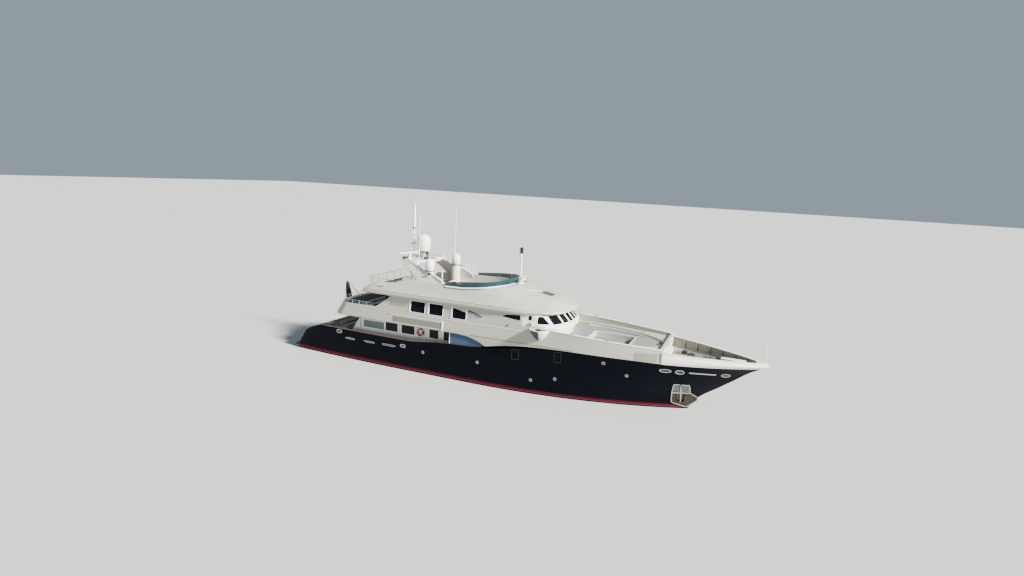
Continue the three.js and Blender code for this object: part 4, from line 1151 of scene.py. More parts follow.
class YACHT_OT_running_gear(bpy.types.Operator):
    """Shaft bossings, propellers and rudders"""

    bl_idname = "yacht.running_gear"
    bl_label = "Running gear"

    def execute(self, context):
        build_running_gear()
        return {"FINISHED"}


# Anchors

PLATE_OUTLINE = [
    (17.05, 0.7), (18.3, 0.24), (19.2, 1), (19.25, 1.25), (18.6, 1.78), (18.5, 2.72), (17.25, 2.78), (17.07, 1.78)
]
PLATE_SPLIT = 1.8


def build_anchors():
    for name, side in SIDES.items():
        lay = on_hull(side)
        outline = eased(PLATE_OUTLINE, 0.08)
        sheet = cover(outline, 0.004, 0.05, lay, 0.2)
        for face in sheet.faces:
            face.material_index = 0 if face.calc_center_median().z < PLATE_SPLIT else 1
        add_piece(f"anchor_sheet_{name}", sheet, "dark_mirror mirror_steel", f"anchor_plate_{name}")
        edge = rim(outline, 0.07, 0, 0.085, lay)
        low, high = PLATE_SPLIT - 0.06, PLATE_SPLIT + 0.05
        bar = cover([(17.07, low), (18.6, low), (18.6, high), (17.07, high)], 0.03, 0.1, lay)
        add_piece(f"anchor_plate_edge_{name}", [edge, bar], "steel")

        def at(x, z, out):
            return (x, side * (half_breadth(x, z) + 0.05 + out), z)

        shank = swept([at(17.8, z, 0.12) for z in spread(2.7, 0.75, 8)], slab(0.12, 0.12))
        crown = rod(at(17.45, 0.8, 0.1), at(18.15, 0.8, 0.1), 0.09, sides=20)
        parts = [tinted(shank, 1), crown]
        for across in (-0.3, 0.3):
            fluke = [at(17.8 + across * mix(1, 1.2, s), mix(0.8, 1.62, s), 0.07) for s in spread(0, 1, 6)]
            parts.append(rod(fluke[0], fluke[-1], 0.09, 0.02, 12))
        parts.append(moved(upright(hoop(0.13, 0.03, 20)), at(17.8, 2.7, 0.1)))
        add_piece(f"stowed_anchor_{name}", parts, "dark_mirror galvanised", f"anchor_{name}")


class YACHT_OT_anchors(bpy.types.Operator):
    """Anchors stowed on bright plates at the bow"""

    bl_idname = "yacht.anchors"
    bl_label = "Anchors"

    def execute(self, context):
        build_anchors()
        return {"FINISHED"}


# Upper shell

UPPER_WINDOWS = [(-9.55, -7.85, 6.45, 7.58), (-7.35, -5.75, 6.45, 7.58), (-4.65, -3.1, 6.45, 7.52)]
DARTS = [
    eased([(-2.95, 6.5), (-2.1, 6.69), (-1.3, 6.98), (-2.1, 7.27), (-2.95, 7.46)], 0.08),
    eased([(0.72, 7.38), (1.7, 7.26), (2.68, 7.2), (2.68, 7.7), (1.9, 7.66), (1.2, 7.58)], 0.06),
]
LOUVRE = {"aft": -11.6, "fore": -5.8, "low": 5.2, "high": 5.75}
TENDER_WELL = {"aft": 8.6, "fore": 12.6, "half": 1.8, "floor": 5.05}
fore_deck = Fair([(2.9, 4.2), (8.5, 3.95), (11, 3.45), (13, 2.75), (14.5, 1.9), (15.4, 1), (15.7, 0.35)])
BULKHEAD = {"aft": -12.4, "thick": 0.12, "door": 0.95, "high": 2.1}


def shell_solid():
    xs = sorted({
        *spread(-20.3, -18.4, 22), *spread(-18.2, -14, 12), -13.6, -12.75, -11.9, *spread(-11.6, -3.8, 12),
        *spread(-3.6, -0.85, 18), *spread(-0.6, 2.9, 8), 2.91, *spread(3.2, BREAK, 36),
    })
    rings = []
    for x in xs:
        low, top = shell_low(x), straight(SHELL_TOP, x)
        lower = [mix(low, max(SHEER_LEVEL, low + 0.01), share) for share in (0, 0.33, 0.66, 1)]
        upper = [mix(lower[-1], top, share) for share in (0.2, 0.4, 0.6, 0.8, 1)]
        rings.append([(x + shell_rake(x) * (z - UPPER_BOTTOM), shell_half(x, z), z) for z in (*lower, *upper)])
    return alike_both_sides(rings)


def build_upper_shell():
    aft = room([-18.75, -18.5, -18.1, -17.4, *spread(-16, -3, 12), 2.75], UPPER_DECK, 9.5, SHELL_WALL, raked_half)
    fore = room([2.91, *spread(3.5, 15.2, 16), 15.85], LEDGE, 9.5, SHELL_WALL, shell_half)
    deck = plate(whole_plan([(x, fore_deck(x)) for x in spread(2.9, 15.7, 40)]), FORE_DECK, 7)
    well = TENDER_WELL
    tender = block((well["aft"], well["fore"]), (-well["half"], well["half"]), (well["floor"], 7), 0.15, 4)
    openings = [tinted(plate(rectangle(*w, 0.14), -6, 6, "Y"), 1) for w in UPPER_WINDOWS]
    openings += [tinted(plate(dart, -6, 6, "Y"), 1) for dart in DARTS]
    shape = carved(shell_solid(), tinted(aft, 2), *openings)
    shape = carved(carved(shape, fore, deck), tender)
    # Inner walls round the upper deck take the darker inner finish: painted shade.
    add_piece("upper_shell_body", shape, "shell_paint groove_paint inner_paint", "upper_shell", sharp=28)
    ends = room([BULKHEAD["aft"], BULKHEAD["aft"] + BULKHEAD["thick"]], UPPER_DECK - 0.02, 7.8, 0.13, shell_half)
    door = block((-14, -11), (-BULKHEAD["door"], BULKHEAD["door"]), (UPPER_DECK, UPPER_DECK + BULKHEAD["high"]))
    add_piece("upper_bulkhead", carved(ends, door), "white_paint")
    panes = []
    for side in BOTH:
        y = (side * 1.12, side * 3.3)
        panes.append(block((BULKHEAD["aft"] - 0.02, BULKHEAD["aft"] + 0.002), y, (UPPER_DECK + 0.25, 7.3), 0.008))
        panes.append(block((-16.32, -16.298), y, (MAIN_DECK + 0.25, 4.6), 0.008))
    add_piece("bulkhead_panes", panes, "dark_glass")


class YACHT_OT_upper_shell(bpy.types.Operator):
    """Upper shell: the band round the upper deck, the sides of the upper house and the foredeck bulwark"""

    bl_idname = "yacht.upper_shell"
    bl_label = "Upper shell"

    def execute(self, context):
        build_upper_shell()
        return {"FINISHED"}


def window_shape(x0, x1, z0, z1):
    """Corners of an upper window: the foremost one slopes down at its top."""
    drop = 0.3 if x1 > -4 else 0
    return [(x0, z0), (x1, z0), (x1, z1 - drop), (x0, z1)]


def build_shell_details():
    frames, slats, backs, lines, plates, corners = [], [], [], [], [], []
    for name, side in SIDES.items():
        lay = on_shell(side)
        strip = grid_of(spread(-9.7, 2.73, 24), [0, 1, 2, 3, 0], lambda x, k: lay(
            x, (6.4, 7.76, 7.76, 6.4)[k], (-0.152, -0.152, -0.185, -0.185)[k]
        ))
        panes = [closed_up(strip)]
        for window in UPPER_WINDOWS:
            outline = eased(window_shape(*window), 0.14)
            panes.append(cover(outline, -0.075, -0.05, lay))
            frames.append(rim(outline, 0.05, 0, 0.02, lay))
            if window[1] > -4:
                (x1, z1), (x0, z2) = window_shape(*window)[2:]
                corner = [(x0 + 0.2, z2 - 0.02), (x1 + 0.04, z1 + 0.03), (x1 + 0.04, z2 + 0.06), (x0, z2 + 0.06)]
                corners.append(cover(corner, -0.06, 0.008, lay))
            x, z0, z1 = window[0], window[2], window[3]
            frames.append(cover(rectangle(x - 0.16, x - 0.02, z0 - 0.05, z1 + 0.05, 0.03), 0, 0.04, lay))
        panes.append(tinted(cover(DARTS[0], -0.075, -0.05, lay), 1))
        panes.append(cover(DARTS[1], -0.075, -0.05, lay))
        frames.append(cover(rectangle(-3.1, -2.95, 6.47, 7.5, 0.02), -0.1, 0.015, lay))
        lines.append(
            cover([(-2.95, 7.5), (-2.95, 7.36), (-2.1, 7.2), (-1.3, 6.98), (-1.22, 6.98), (-2.1, 7.31)], 0, 0.012, lay)
        )
        add_piece(f"upper_panes_{name}", panes, "dark_glass pale_glass", f"upper_glass_{name}")
        aft, fore, low, high = (LOUVRE[key] for key in ("aft", "fore", "low", "high"))
        # Dark sheet behind the slats: painted shade in the intake's recess.
        backs.append(cover(rectangle(aft, fore, low, high, 0.04), 0, 0.01, lay))
        for z in spread(low + 0.03, high - 0.06, 8):
            slats.append(cover(rectangle(aft + 0.04, fore - 0.04, z, z + 0.035, 0.01), 0.01, 0.03, lay, 1))
        lines.append(cover(rectangle(fore - 0.02, fore + 0.05, low - 0.12, high + 0.1, 0.01), 0, 0.03, lay))
        frames.append(cover(rectangle(fore + 0.06, fore + 0.2, UPPER_BOTTOM + 0.05, high + 0.22, 0.03), 0, 0.06, lay))
        lines.append(swept([lay(x, 5.03 + 0.006 * (x + 3), 0.004) for x in spread(-2.6, 8.2, 40)], slab(0.016, 0.045)))
        # Dark strip along the shell's lower edge: painted shadow under the shell.
        lines.append(swept([lay(x, UPPER_BOTTOM + 0.03, 0.004) for x in spread(-18.2, -3.6, 40)], slab(0.016, 0.03)))
        frames.append(swept([lay(x, 6.22, 0) for x in spread(-9.9, 3, 40)], slab(0.05, 0.04)))
        frames.append(swept([lay(x, 5.9, 0) for x in spread(-12.6, -5.6, 24)], slab(0.04, 0.03)))
        plates.append(cover(rectangle(-12, -10.05, 6.9, 7.2, 0.05), 0, 0.03, lay))
        plates.append(cover(rectangle(13.8, 15.7, 5.08, 5.78, 0.05), 0, 0.025, lay))
        lines.append(cover(disc(1.45, 6.6, 0.07, 1.6), 0, 0.05, lay))
        lines.append(cover(disc(-12.1, 5.9, 0.06, 1), 0, 0.06, lay))
    add_piece("window_frames", frames, "bright_white")
    add_piece("window_corners", corners, "shell_paint")
    add_piece("air_intake_slats", slats, "louvre_paint")
    add_piece("air_intake_backs", backs, "louvre_shade")
    add_piece("shell_lines", lines, "groove_paint")
    add_piece("shell_blank_plates", plates, "louvre_paint")


class YACHT_OT_shell_details(bpy.types.Operator):
    """Window panes and frames, air intakes, mouldings, ledge lines and small fittings of the upper shell"""

    bl_idname = "yacht.shell_details"
    bl_label = "Shell details"

    def execute(self, context):
        build_shell_details()
        return {"FINISHED"}


# Sun deck

# Columns: x, fascia half-breadth, shoulder half-breadth, shoulder height, top half-breadth, top height
sun = Fair([
    (-15.8, 3.9, 3.8, 8.21, 3.6, 8.22), (-15.5, 4.4, 4.28, 8.24, 4, 8.3), (-14.7, 4.52, 4.36, 8.4, 4.05, 8.75),
    (-13.9, 4.55, 4.34, 8.5, 4.02, 9.02), (-12.3, 4.55, 4.3, 8.6, 3.95, 9.08), (-10.7, 4.55, 4.15, 8.8, 3.75, 9.48),
    (-6.5, 4.55, 4.05, 8.9, 3.65, 9.65), (-3, 4.55, 4, 9, 3.6, 9.72), (-1.2, 4.55, 3.9, 9.1, 3.3, 9.8),
    (0, 4.53, 3.8, 9.15, 2.9, 9.9), (0.7, 4.5, 3.7, 9.15, 2.3, 10), (1.3, 4.48, 3.6, 9.1, 2, 9.92),
    (2.9, 4.35, 3.4, 8.95, 1.8, 9.5), (4.2, 4.05, 3.1, 8.8, 1.6, 9.28), (5.1, 3.7, 2.8, 8.7, 1.4, 9.1),
    (6, 2.95, 2.2, 8.5, 1.1, 8.8), (6.6, 1.9, 1.4, 8.38, 0.8, 8.55), (6.9, 0.9, 0.7, 8.3, 0.4, 8.4),
])
# Lower edge of the roof over the front windows: x, half-breadth, height
roof_rim = Fair([
    (2.9, 4.35, SUN_BOTTOM), (4.2, 3.9, SUN_BOTTOM), (5.1, 3.1, SUN_BOTTOM), (6, 1.4, SUN_BOTTOM), (6.6, 1.2, 8.02),
    (6.9, 0.7, 8.18),
])
SUN_PLAN = [
    (-15.2, 3.45), (-14.5, 3.75), (-12.3, 3.65), (-10.7, 3.45), (-6.5, 3.35), (-3, 3.25), (-1.5, 2.8), (-0.5, 1.9),
    (-0.1, 0.8),
]


def sun_section(x):
    fascia, shoulder, shoulder_top, inner, top = (sun(x, column) for column in range(1, 6))
    edge = roof_rim(x) if x > 2.9 else fascia
    low = roof_rim(x, 2)
    tuck = min(0.05, fascia * 0.05)
    middle = mix(low, KNUCKLE, 0.5)
    step = min(KNUCKLE + 0.05, mix(KNUCKLE, shoulder_top, 0.5))
    return [
        (edge - 0.1, low), (edge, low + 0.015), (mix(edge, fascia + 0.05, 0.75), mix(low, middle, 0.6)),
        (fascia + 0.05, middle), (fascia + 0.035, mix(middle, KNUCKLE, 0.6)), (fascia, KNUCKLE - 0.015),
        (fascia - tuck, KNUCKLE), (fascia - tuck, step),
        (mix(fascia - tuck, shoulder, 0.45), mix(step, shoulder_top, 0.3)),
        (shoulder, shoulder_top), (mix(shoulder, inner, 0.33), mix(shoulder_top, top, 0.38)),
        (mix(shoulder, inner, 0.66), mix(shoulder_top, top, 0.72)),
        (mix(shoulder, inner, 0.93), mix(shoulder_top, top, 0.97)),
        (inner * 0.96, top), (inner * 0.66, top + 0.015), (inner * 0.33, top + 0.02),
    ]


def flat_path(rows):
    """Smooth path through rows of x and half-breadth, as pairs."""
    return [(p.x, p.y) for p in smooth_path([(x, y, 0) for x, y in rows], 5)]


def on_slope(side):
    """Place on the sloping side of the sun-deck moulding, at a share of the way up from the shoulder."""

    def lay(x, share, out):
        y = mix(sun(x, 2), sun(x, 4), share)
        z = mix(sun(x, 3), sun(x, 5), share)
        rise, run = sun(x, 5) - sun(x, 3), sun(x, 2) - sun(x, 4)
        length = hypot(rise, run) or 1
        return (x, side * (y + out * rise / length), z + out * run / length)

    return lay


def build_sun_deck():
    xs = [*spread(-15.8, -14.5, 12), *spread(-14.2, 5.1, 64), *spread(5.25, 6.9, 16)]
    rings = [[(x, y, z) for y, z in sun_section(x)] for x in xs]
    well = plate(whole_plan(flat_path(SUN_PLAN)), SUN_DECK, 12)
    shape = carved(alike_both_sides(rings), tinted(well, 1))
    add_piece("sun_deck_body", shape, "shell_paint white_paint", "sun_deck", sharp=40)
    # Dark strip in the groove along the knuckle: painted shadow of the groove.
    line = swept([(x, -(sun(x) - 0.04), KNUCKLE + 0.02) for x in spread(-15.3, 1.5, 90)], slab(0.03, 0.04))
    lines = [both_sides(line)]
    for side in BOTH:
        lines.append(cover(disc(-13.4, 0.42, 0.34, 1.45, 28), 0, 0.012, on_slope(side)))
    hatch = rectangle(3.45, 4.5, -0.75, 0.3, 0.12)
    roof = lambda x, y, out: (x, y, sun(x, 5) + 0.02 + out)
    lines.append(rim(hatch, 0.05, 0, 0.03, roof))
    add_piece("sun_deck_lines", lines, "groove_paint")
    lids = []
    panes = cover(rectangle(3.47, 4.48, -0.73, 0.28, 0.12), 0, 0.05, roof)
    add_piece("roof_hatch_pane", panes, "hatch_pane")
    for side in BOTH:
        lids += [
            rim(disc(-13.4, 0.42, 0.36, 1.45, 28), 0.03, 0, 0.03, on_slope(side)),
            *[
                cover(rectangle(-13.75, -13.05, z, z + 0.03, 0.01), 0.01, 0.02, on_slope(side))
                for z in (0.25, 0.42, 0.59)
            ],
        ]
    brow = [(2.2 + 0.75 * (1 - s * s), 1.5 * s) for s in spread(-1, 1, 24)]
    brow = [(x, y, sun(x, 5) + 0.03) for x, y in brow]
    lids.append(swept(brow, slab(0.08, 0.06)))
    add_piece("sun_deck_lids", lids, "white_paint")
    teak = plate(whole_plan([(x, y - 0.03) for x, y in flat_path(SUN_PLAN)]), SUN_DECK, SUN_DECK + 0.015)
    add_piece("sun_deck_teak", teak, "teak_deck")


class YACHT_OT_sun_deck(bpy.types.Operator):
    """Sun deck with its sloping coaming and the roof of the wheelhouse in front"""

    bl_idname = "yacht.sun_deck"
    bl_label = "Sun deck"

    def execute(self, context):
        build_sun_deck()
        return {"FINISHED"}


# Windscreen: x, half-breadth, height of the glass
SCREEN_PLAN = [
    (-5.9, 3.74, 0.26), (-3, 3.7, 0.46), (-1.4, 3.36, 0.52), (-0.4, 2.25, 0.58), (0.17, 1, 0.6), (0.25, 0, 0.6)
]
SCREEN_FOOT = -0.16


def build_windscreen():
    port = smooth_path(SCREEN_PLAN, 8)
    path = [*port, *[Vector((p.x, -p.y, p.z)) for p in reversed(port[:-1])]]

    def place(i, k):
        p = path[i]
        way = Vector((p.x + 3.5, p.y)).normalized() * (0, 0.045, 0.045, 0)[k]
        foot = sun(p.x, 5) + SCREEN_FOOT
        return (p.x + way.x, p.y + way.y, foot if k < 2 else foot + p.z - SCREEN_FOOT)

    glass = closed_up(grid_of(range(len(path)), [0, 1, 2, 3, 0], place))
    add_piece("windscreen_glass", glass, "screen_glass", "windscreen")
    top = [(p.x, p.y, sun(p.x, 5) + p.z - 0.02) for p in path]
    posts = [rod((p.x, p.y, sun(p.x, 5) - 0.05), (p.x, p.y, sun(p.x, 5) + p.z - 0.02), 0.02) for p in path[::7]]
    add_piece("windscreen_edge", [tube(top, 0.028), *posts], "steel")
    foot = [
        (p.x + 0.05, p.y * 1.015, sun(p.x, 5) + mix(SCREEN_FOOT - 0.05, 0.02, min(1, max(0, (p.x + 4) / 3))))
        for p in path
    ]
    add_piece("windscreen_foot", swept(foot, slab(0.26, 0.14)), "bright_white")


class YACHT_OT_windscreen(bpy.types.Operator):
    """Curved glass windscreen on the coaming, with its white foot and bright top edge"""

    bl_idname = "yacht.windscreen"
    bl_label = "Windscreen"

    def execute(self, context):
        build_windscreen()
        return {"FINISHED"}


# Wheelhouse

# Height, x of the front at the centre line, half-breadth, x where the curved front begins
wheelhouse = [
    (5.6, 6.5, 4.06, 4.4), (6.45, 6.72, 4.1, 4.4), (6.56, 7, 4.15, 4.4), (6.84, 7.02, 4.15, 4.4),
    (6.92, 6.8, 4.13, 4.4), (SUN_BOTTOM, 5.95, 4.02, 3.68),
]
WALL = 0.12
# Front windows of one side: angle round the curved front where each begins and ends
FRONT_PANES = [(0.03, 0.23), (0.29, 0.53), (0.59, 0.97)]
PANE_LOW, PANE_HIGH = 7.02, 7.76
SIDE_PANES = [
    [(3.4, 7.3), (3.77, 7.3), (3.77, 7.72), (3.4, 7.72)],
    [(4.35, 7.06), (5.5, 7.06), (4.75, 7.74), (4.35, 7.74)],
]


def on_wheelhouse(angle, z, out):
    shoulder = straight(wheelhouse, z, 3)
    front = straight(wheelhouse, z) - shoulder + out
    half = straight(wheelhouse, z, 2) + out
    return (shoulder + front * max(0, cos(angle)) ** 0.9, half * sin(angle), z)


def house_ring(z, inset, aft):
    front = [on_wheelhouse(angle, z, -inset) for angle in spread(0, pi / 2, 28)]
    half = straight(wheelhouse, z, 2) - inset
    return [*front, (aft, half, z)]


def front_panes():
    for start, end in FRONT_PANES:
        for low, high in ((start, end), (-end, -start)):
            yield eased([(low, PANE_LOW), (high, PANE_LOW), (high, PANE_HIGH), (low, PANE_HIGH)], 0.03)


def wheelhouse_half(x, z):
    shoulder = straight(wheelhouse, z, 3)
    share = clamp((x - shoulder) / (straight(wheelhouse, z) - shoulder)) ** (1 / 0.9)
    return straight(wheelhouse, z, 2) * sqrt(1 - share**2)


def wheelhouse_side(side):
    return lambda x, z, out: (x, side * (wheelhouse_half(x, z) + out), z)


def build_wheelhouse():
    heights = [5.6, 6.1, 6.44, 6.5, 6.56, 6.7, 6.84, 6.88, 6.93, 7.2, 7.5, SUN_BOTTOM]
    body = alike_both_sides([house_ring(z, 0, 2.95) for z in heights])
    space = alike_both_sides([house_ring(z, WALL, 3.06) for z in (5.3, 6.45, 6.95, 7.95)])
    openings = [cover(outline, -0.5, 0.4, on_wheelhouse) for outline in front_panes()]
    openings += [plate(eased(outline, 0.05), -6, 6, "Y") for outline in SIDE_PANES]
    shape = carved(carved(body, tinted(space, 1)), *[tinted(o, 2) for o in openings])
    # Inside walls of the wheelhouse take the darker inner finish: painted shade.
    add_piece("wheelhouse_body", shape, "bright_white inner_paint groove_paint", "wheelhouse")
    glass = [cover(outline, -0.07, -0.045, on_wheelhouse) for outline in front_panes()]
    for side in BOTH:
        glass += [cover(eased(o, 0.05), -0.06, -0.035, wheelhouse_side(side)) for o in SIDE_PANES]
    add_piece("wheelhouse_panes", glass, "helm_glass", "wheelhouse_glass")
    wipers = []
    for start, end in FRONT_PANES[:2]:
        for way in (-1, 1):
            foot = on_wheelhouse(way * start, 6.94, 0.03)
            tip = on_wheelhouse(way * mix(start, end, 0.8), 7.35, -0.025)
            wipers += [rod(foot, tip, 0.013, sides=8), block(*[(c - 0.03, c + 0.03) for c in foot], 0.01)]
            blade = [on_wheelhouse(way * mix(start, end, 0.8), z, -0.025) for z in (7.12, 7.58)]
            wipers.append(rod(*blade, 0.014, sides=8))
    add_piece("wipers", wipers, "dark_plastic")
    for name, side, light in (("stbd", -1, "green_lamp"), ("port", 1, "red_lamp")):
        lay = wheelhouse_side(side)
        box = cover(rectangle(3.5, 3.86, 6.78, 7.12, 0.05), 0, 0.07, lay)
        lens = cover(rectangle(3.6, 3.8, 6.86, 7.04, 0.05), 0.05, 0.13, lay)
        add_piece(f"side_light_{name}", layered([box], [lens]), f"white_paint {light}")


class YACHT_OT_wheelhouse(bpy.types.Operator):
    """Wheelhouse with its raked windows, wipers and side lights"""

    bl_idname = "yacht.wheelhouse"
    bl_label = "Wheelhouse"

    def execute(self, context):
        build_wheelhouse()
        return {"FINISHED"}


def build_helm():
    top = FORE_DECK
    desk = plate(whole_plan([(4.9, 1.9), (5.45, 1.7), (5.7, 0.9)]), top + 0.001, 6.5)
    rounded_edges(desk, 0.06)
    shapes = [desk, block((3.9, 5.3), (-1.2, 1.2), (top + 0.001, top + 0.06), 0.015)]
    screens = []
    for y in (-1.2, -0.4, 0.4, 1.2):
        panel = block((-0.02, 0.02), (-0.33, 0.33), (-0.2, 0.2), 0.015)
        screens.append(moved(panel, (5.25, y, 6.62), (0.5, "Y")))
    for y in (-0.8, 0.8):
        shapes += [
            block((4, 4.6), (y - 0.3, y + 0.3), (top + 0.45, top + 0.6), 0.05, 3),
            block((3.95, 4.1), (y - 0.3, y + 0.3), (top + 0.5, top + 1.3), 0.05, 3),
            rod((4.3, y, top + 0.02), (4.3, y, top + 0.5), 0.08),
            block((4.1, 4.5), (y - 0.34, y - 0.28), (top + 0.6, top + 0.72), 0.02),
            block((4.1, 4.5), (y + 0.28, y + 0.34), (top + 0.6, top + 0.72), 0.02),
        ]
    shapes.append(moved(hoop(0.26, 0.022, 28), (4.85, 0, 6.42), (1.2, "Y")))
    add_piece("helm_desk", layered(shapes, screens), "leather screen_face", "helm_console")


class YACHT_OT_helm(bpy.types.Operator):
    """Helm console with screens, wheel and two chairs"""

    bl_idname = "yacht.helm"
    bl_label = "Helm"

    def execute(self, context):
        build_helm()
        return {"FINISHED"}


TUB = {"x": 4.75, "top": 6.68}


def build_wing_tubs():
    outer = [
        (0, 5.55), (0.16, 5.57), (0.32, 5.66), (0.52, 5.86), (0.72, 6.1), (0.86, 6.32), (0.96, 6.52), (1, 6.64),
        (0.985, 6.68), (0, 6.68)
    ]
    inner = [(0, 5.7), (0.26, 5.74), (0.62, 6.1), (0.88, 6.55), (0.9, 7), (0, 7)]
    shell = shell_solid_near_tubs()
    for name, side in SIDES.items():
        y = side * (shell_half(TUB["x"], TUB["top"]) - 0.1)
        bowl = turned(outer, (TUB["x"], y, 0), 64)
        hollow = turned(inner, (TUB["x"], y, 0), 48)
        inboard = block((TUB["x"] - 2, TUB["x"] + 2), (0, y), (5, 7.2))
        shape = carved(bowl, hollow, inboard, shell())
        # Faces that look neither up nor forward take the second finish: painted shade on the tub's side away from the
        # key light.
        for face in shape.faces:
            n = face.normal
            if n.z < 0.3 and n.x < 0.19 * hypot(n.x, n.y):
                face.material_index = 1
        add_piece(f"tub_{name}", shape, "bright_white tub_shade", f"wing_tub_{name}")
        console = block((TUB["x"] - 0.25, TUB["x"] + 0.25), (y + side * 0.3, y + side * 0.6), (5.9, 6.75), 0.05)
        add_piece(f"tub_console_{name}", console, "dark_plastic")


class YACHT_OT_wing_tubs(bpy.types.Operator):
    """Wing control tubs on the sides of the wheelhouse"""

    bl_idname = "yacht.wing_tubs"
    bl_label = "Wing tubs"

    def execute(self, context):
        build_wing_tubs()
        return {"FINISHED"}


def shell_solid_near_tubs():
    """Maker of the part of the shell's outside that the tubs stand against."""
    xs = spread(3.2, 6.4, 8)
    heights = spread(4.9, 7.2, 6)
    return lambda: alike_both_sides([[(x, shell_half(x, z) + 0.002, z) for z in heights] for x in xs])


# Bow

bow_top = Fair([(BREAK, 5.95), (20, 5.72), (24.6, 5.46), (25, 5.42)])


def build_bow():
    rings = []
    shares = [1 - (1 - s) ** 1.4 for s in spread(0, 1, 44)]
    for s in shares:
        nominal = mix(BREAK, 25, s)
        top = bow_top(nominal)
        foot = sheer(nominal)
        ring = []
        for z in (foot, mix(foot, 5.2, 0.5), 5.2, mix(5.2, top, 0.5), top - 0.05):
            x = mix(BREAK, stem(z), s)
            ring.append((x, half_breadth(x, z) + 0.012, z))
        x, y, _ = ring[-1]
        rings.append([*ring, (x, max(0.03, y - 0.02), top - 0.015), (x, max(0.02, y - 0.06), top)])
    space = room([15.2, *spread(16.5, 22.8, 9), 23.4, 23.9], 4, 7, 0.14, half_breadth)
    add_piece("bow_body", carved(alike_both_sides(rings), tinted(space, 1)), "bright_white louvre_paint", "bow_bulwark")
    cap = []
    for s in shares[:-3]:
        top = bow_top(mix(BREAK, 25, s))
        x = mix(BREAK, stem(top), s)
        cap.append((x, half_breadth(x, top) - 0.06, top + 0.01))
    caps = [both_sides(swept(cap, slab(0.24, 0.07)))]
    caps.append(swept([(16 + 0.3 * (1 - s * s), 2.9 * s, 5.93) for s in spread(-1, 1, 20)], slab(0.24, 0.12)))
    sill = whole_plan([(x, half_breadth(x, 4.94) - 0.1) for x in (16.08, 16.34)])
    caps.append(plate(sill, 4.86, 4.96))
    add_piece("bow_cap", caps, "bright_white")
    frames = []
    for x in (17.3, 18.5, 19.7, 20.9, 22):
        for side in BOTH:
            levels = spread(MOORING_DECK, bow_top(x) - 0.08, 5)
            frames.append(swept([(x, side * (half_breadth(x, z) - 0.22), z) for z in levels], slab(0.06, 0.12)))
    add_piece("bow_frames", frames, "louvre_paint")
    staff = [
        rod((24.6, 0, 5.3), (24.62, 0, 7.28), 0.06, 0.035),
        turned([(0, 7.24), (0.06, 7.27), (0.07, 7.33), (0, 7.38)], (24.62, 0, 0))
    ]
    staff.append(block((24.45, 24.75), (-0.12, 0.12), (5.36, 5.5), 0.03))
    add_piece("jackstaff_pole", staff, "bright_white", "jackstaff")


class YACHT_OT_bow(bpy.types.Operator):
    """Bulwark round the mooring deck, its cap and frames, and the jackstaff"""

    bl_idname = "yacht.bow"
    bl_label = "Bow"

    def execute(self, context):
        build_bow()
        return {"FINISHED"}


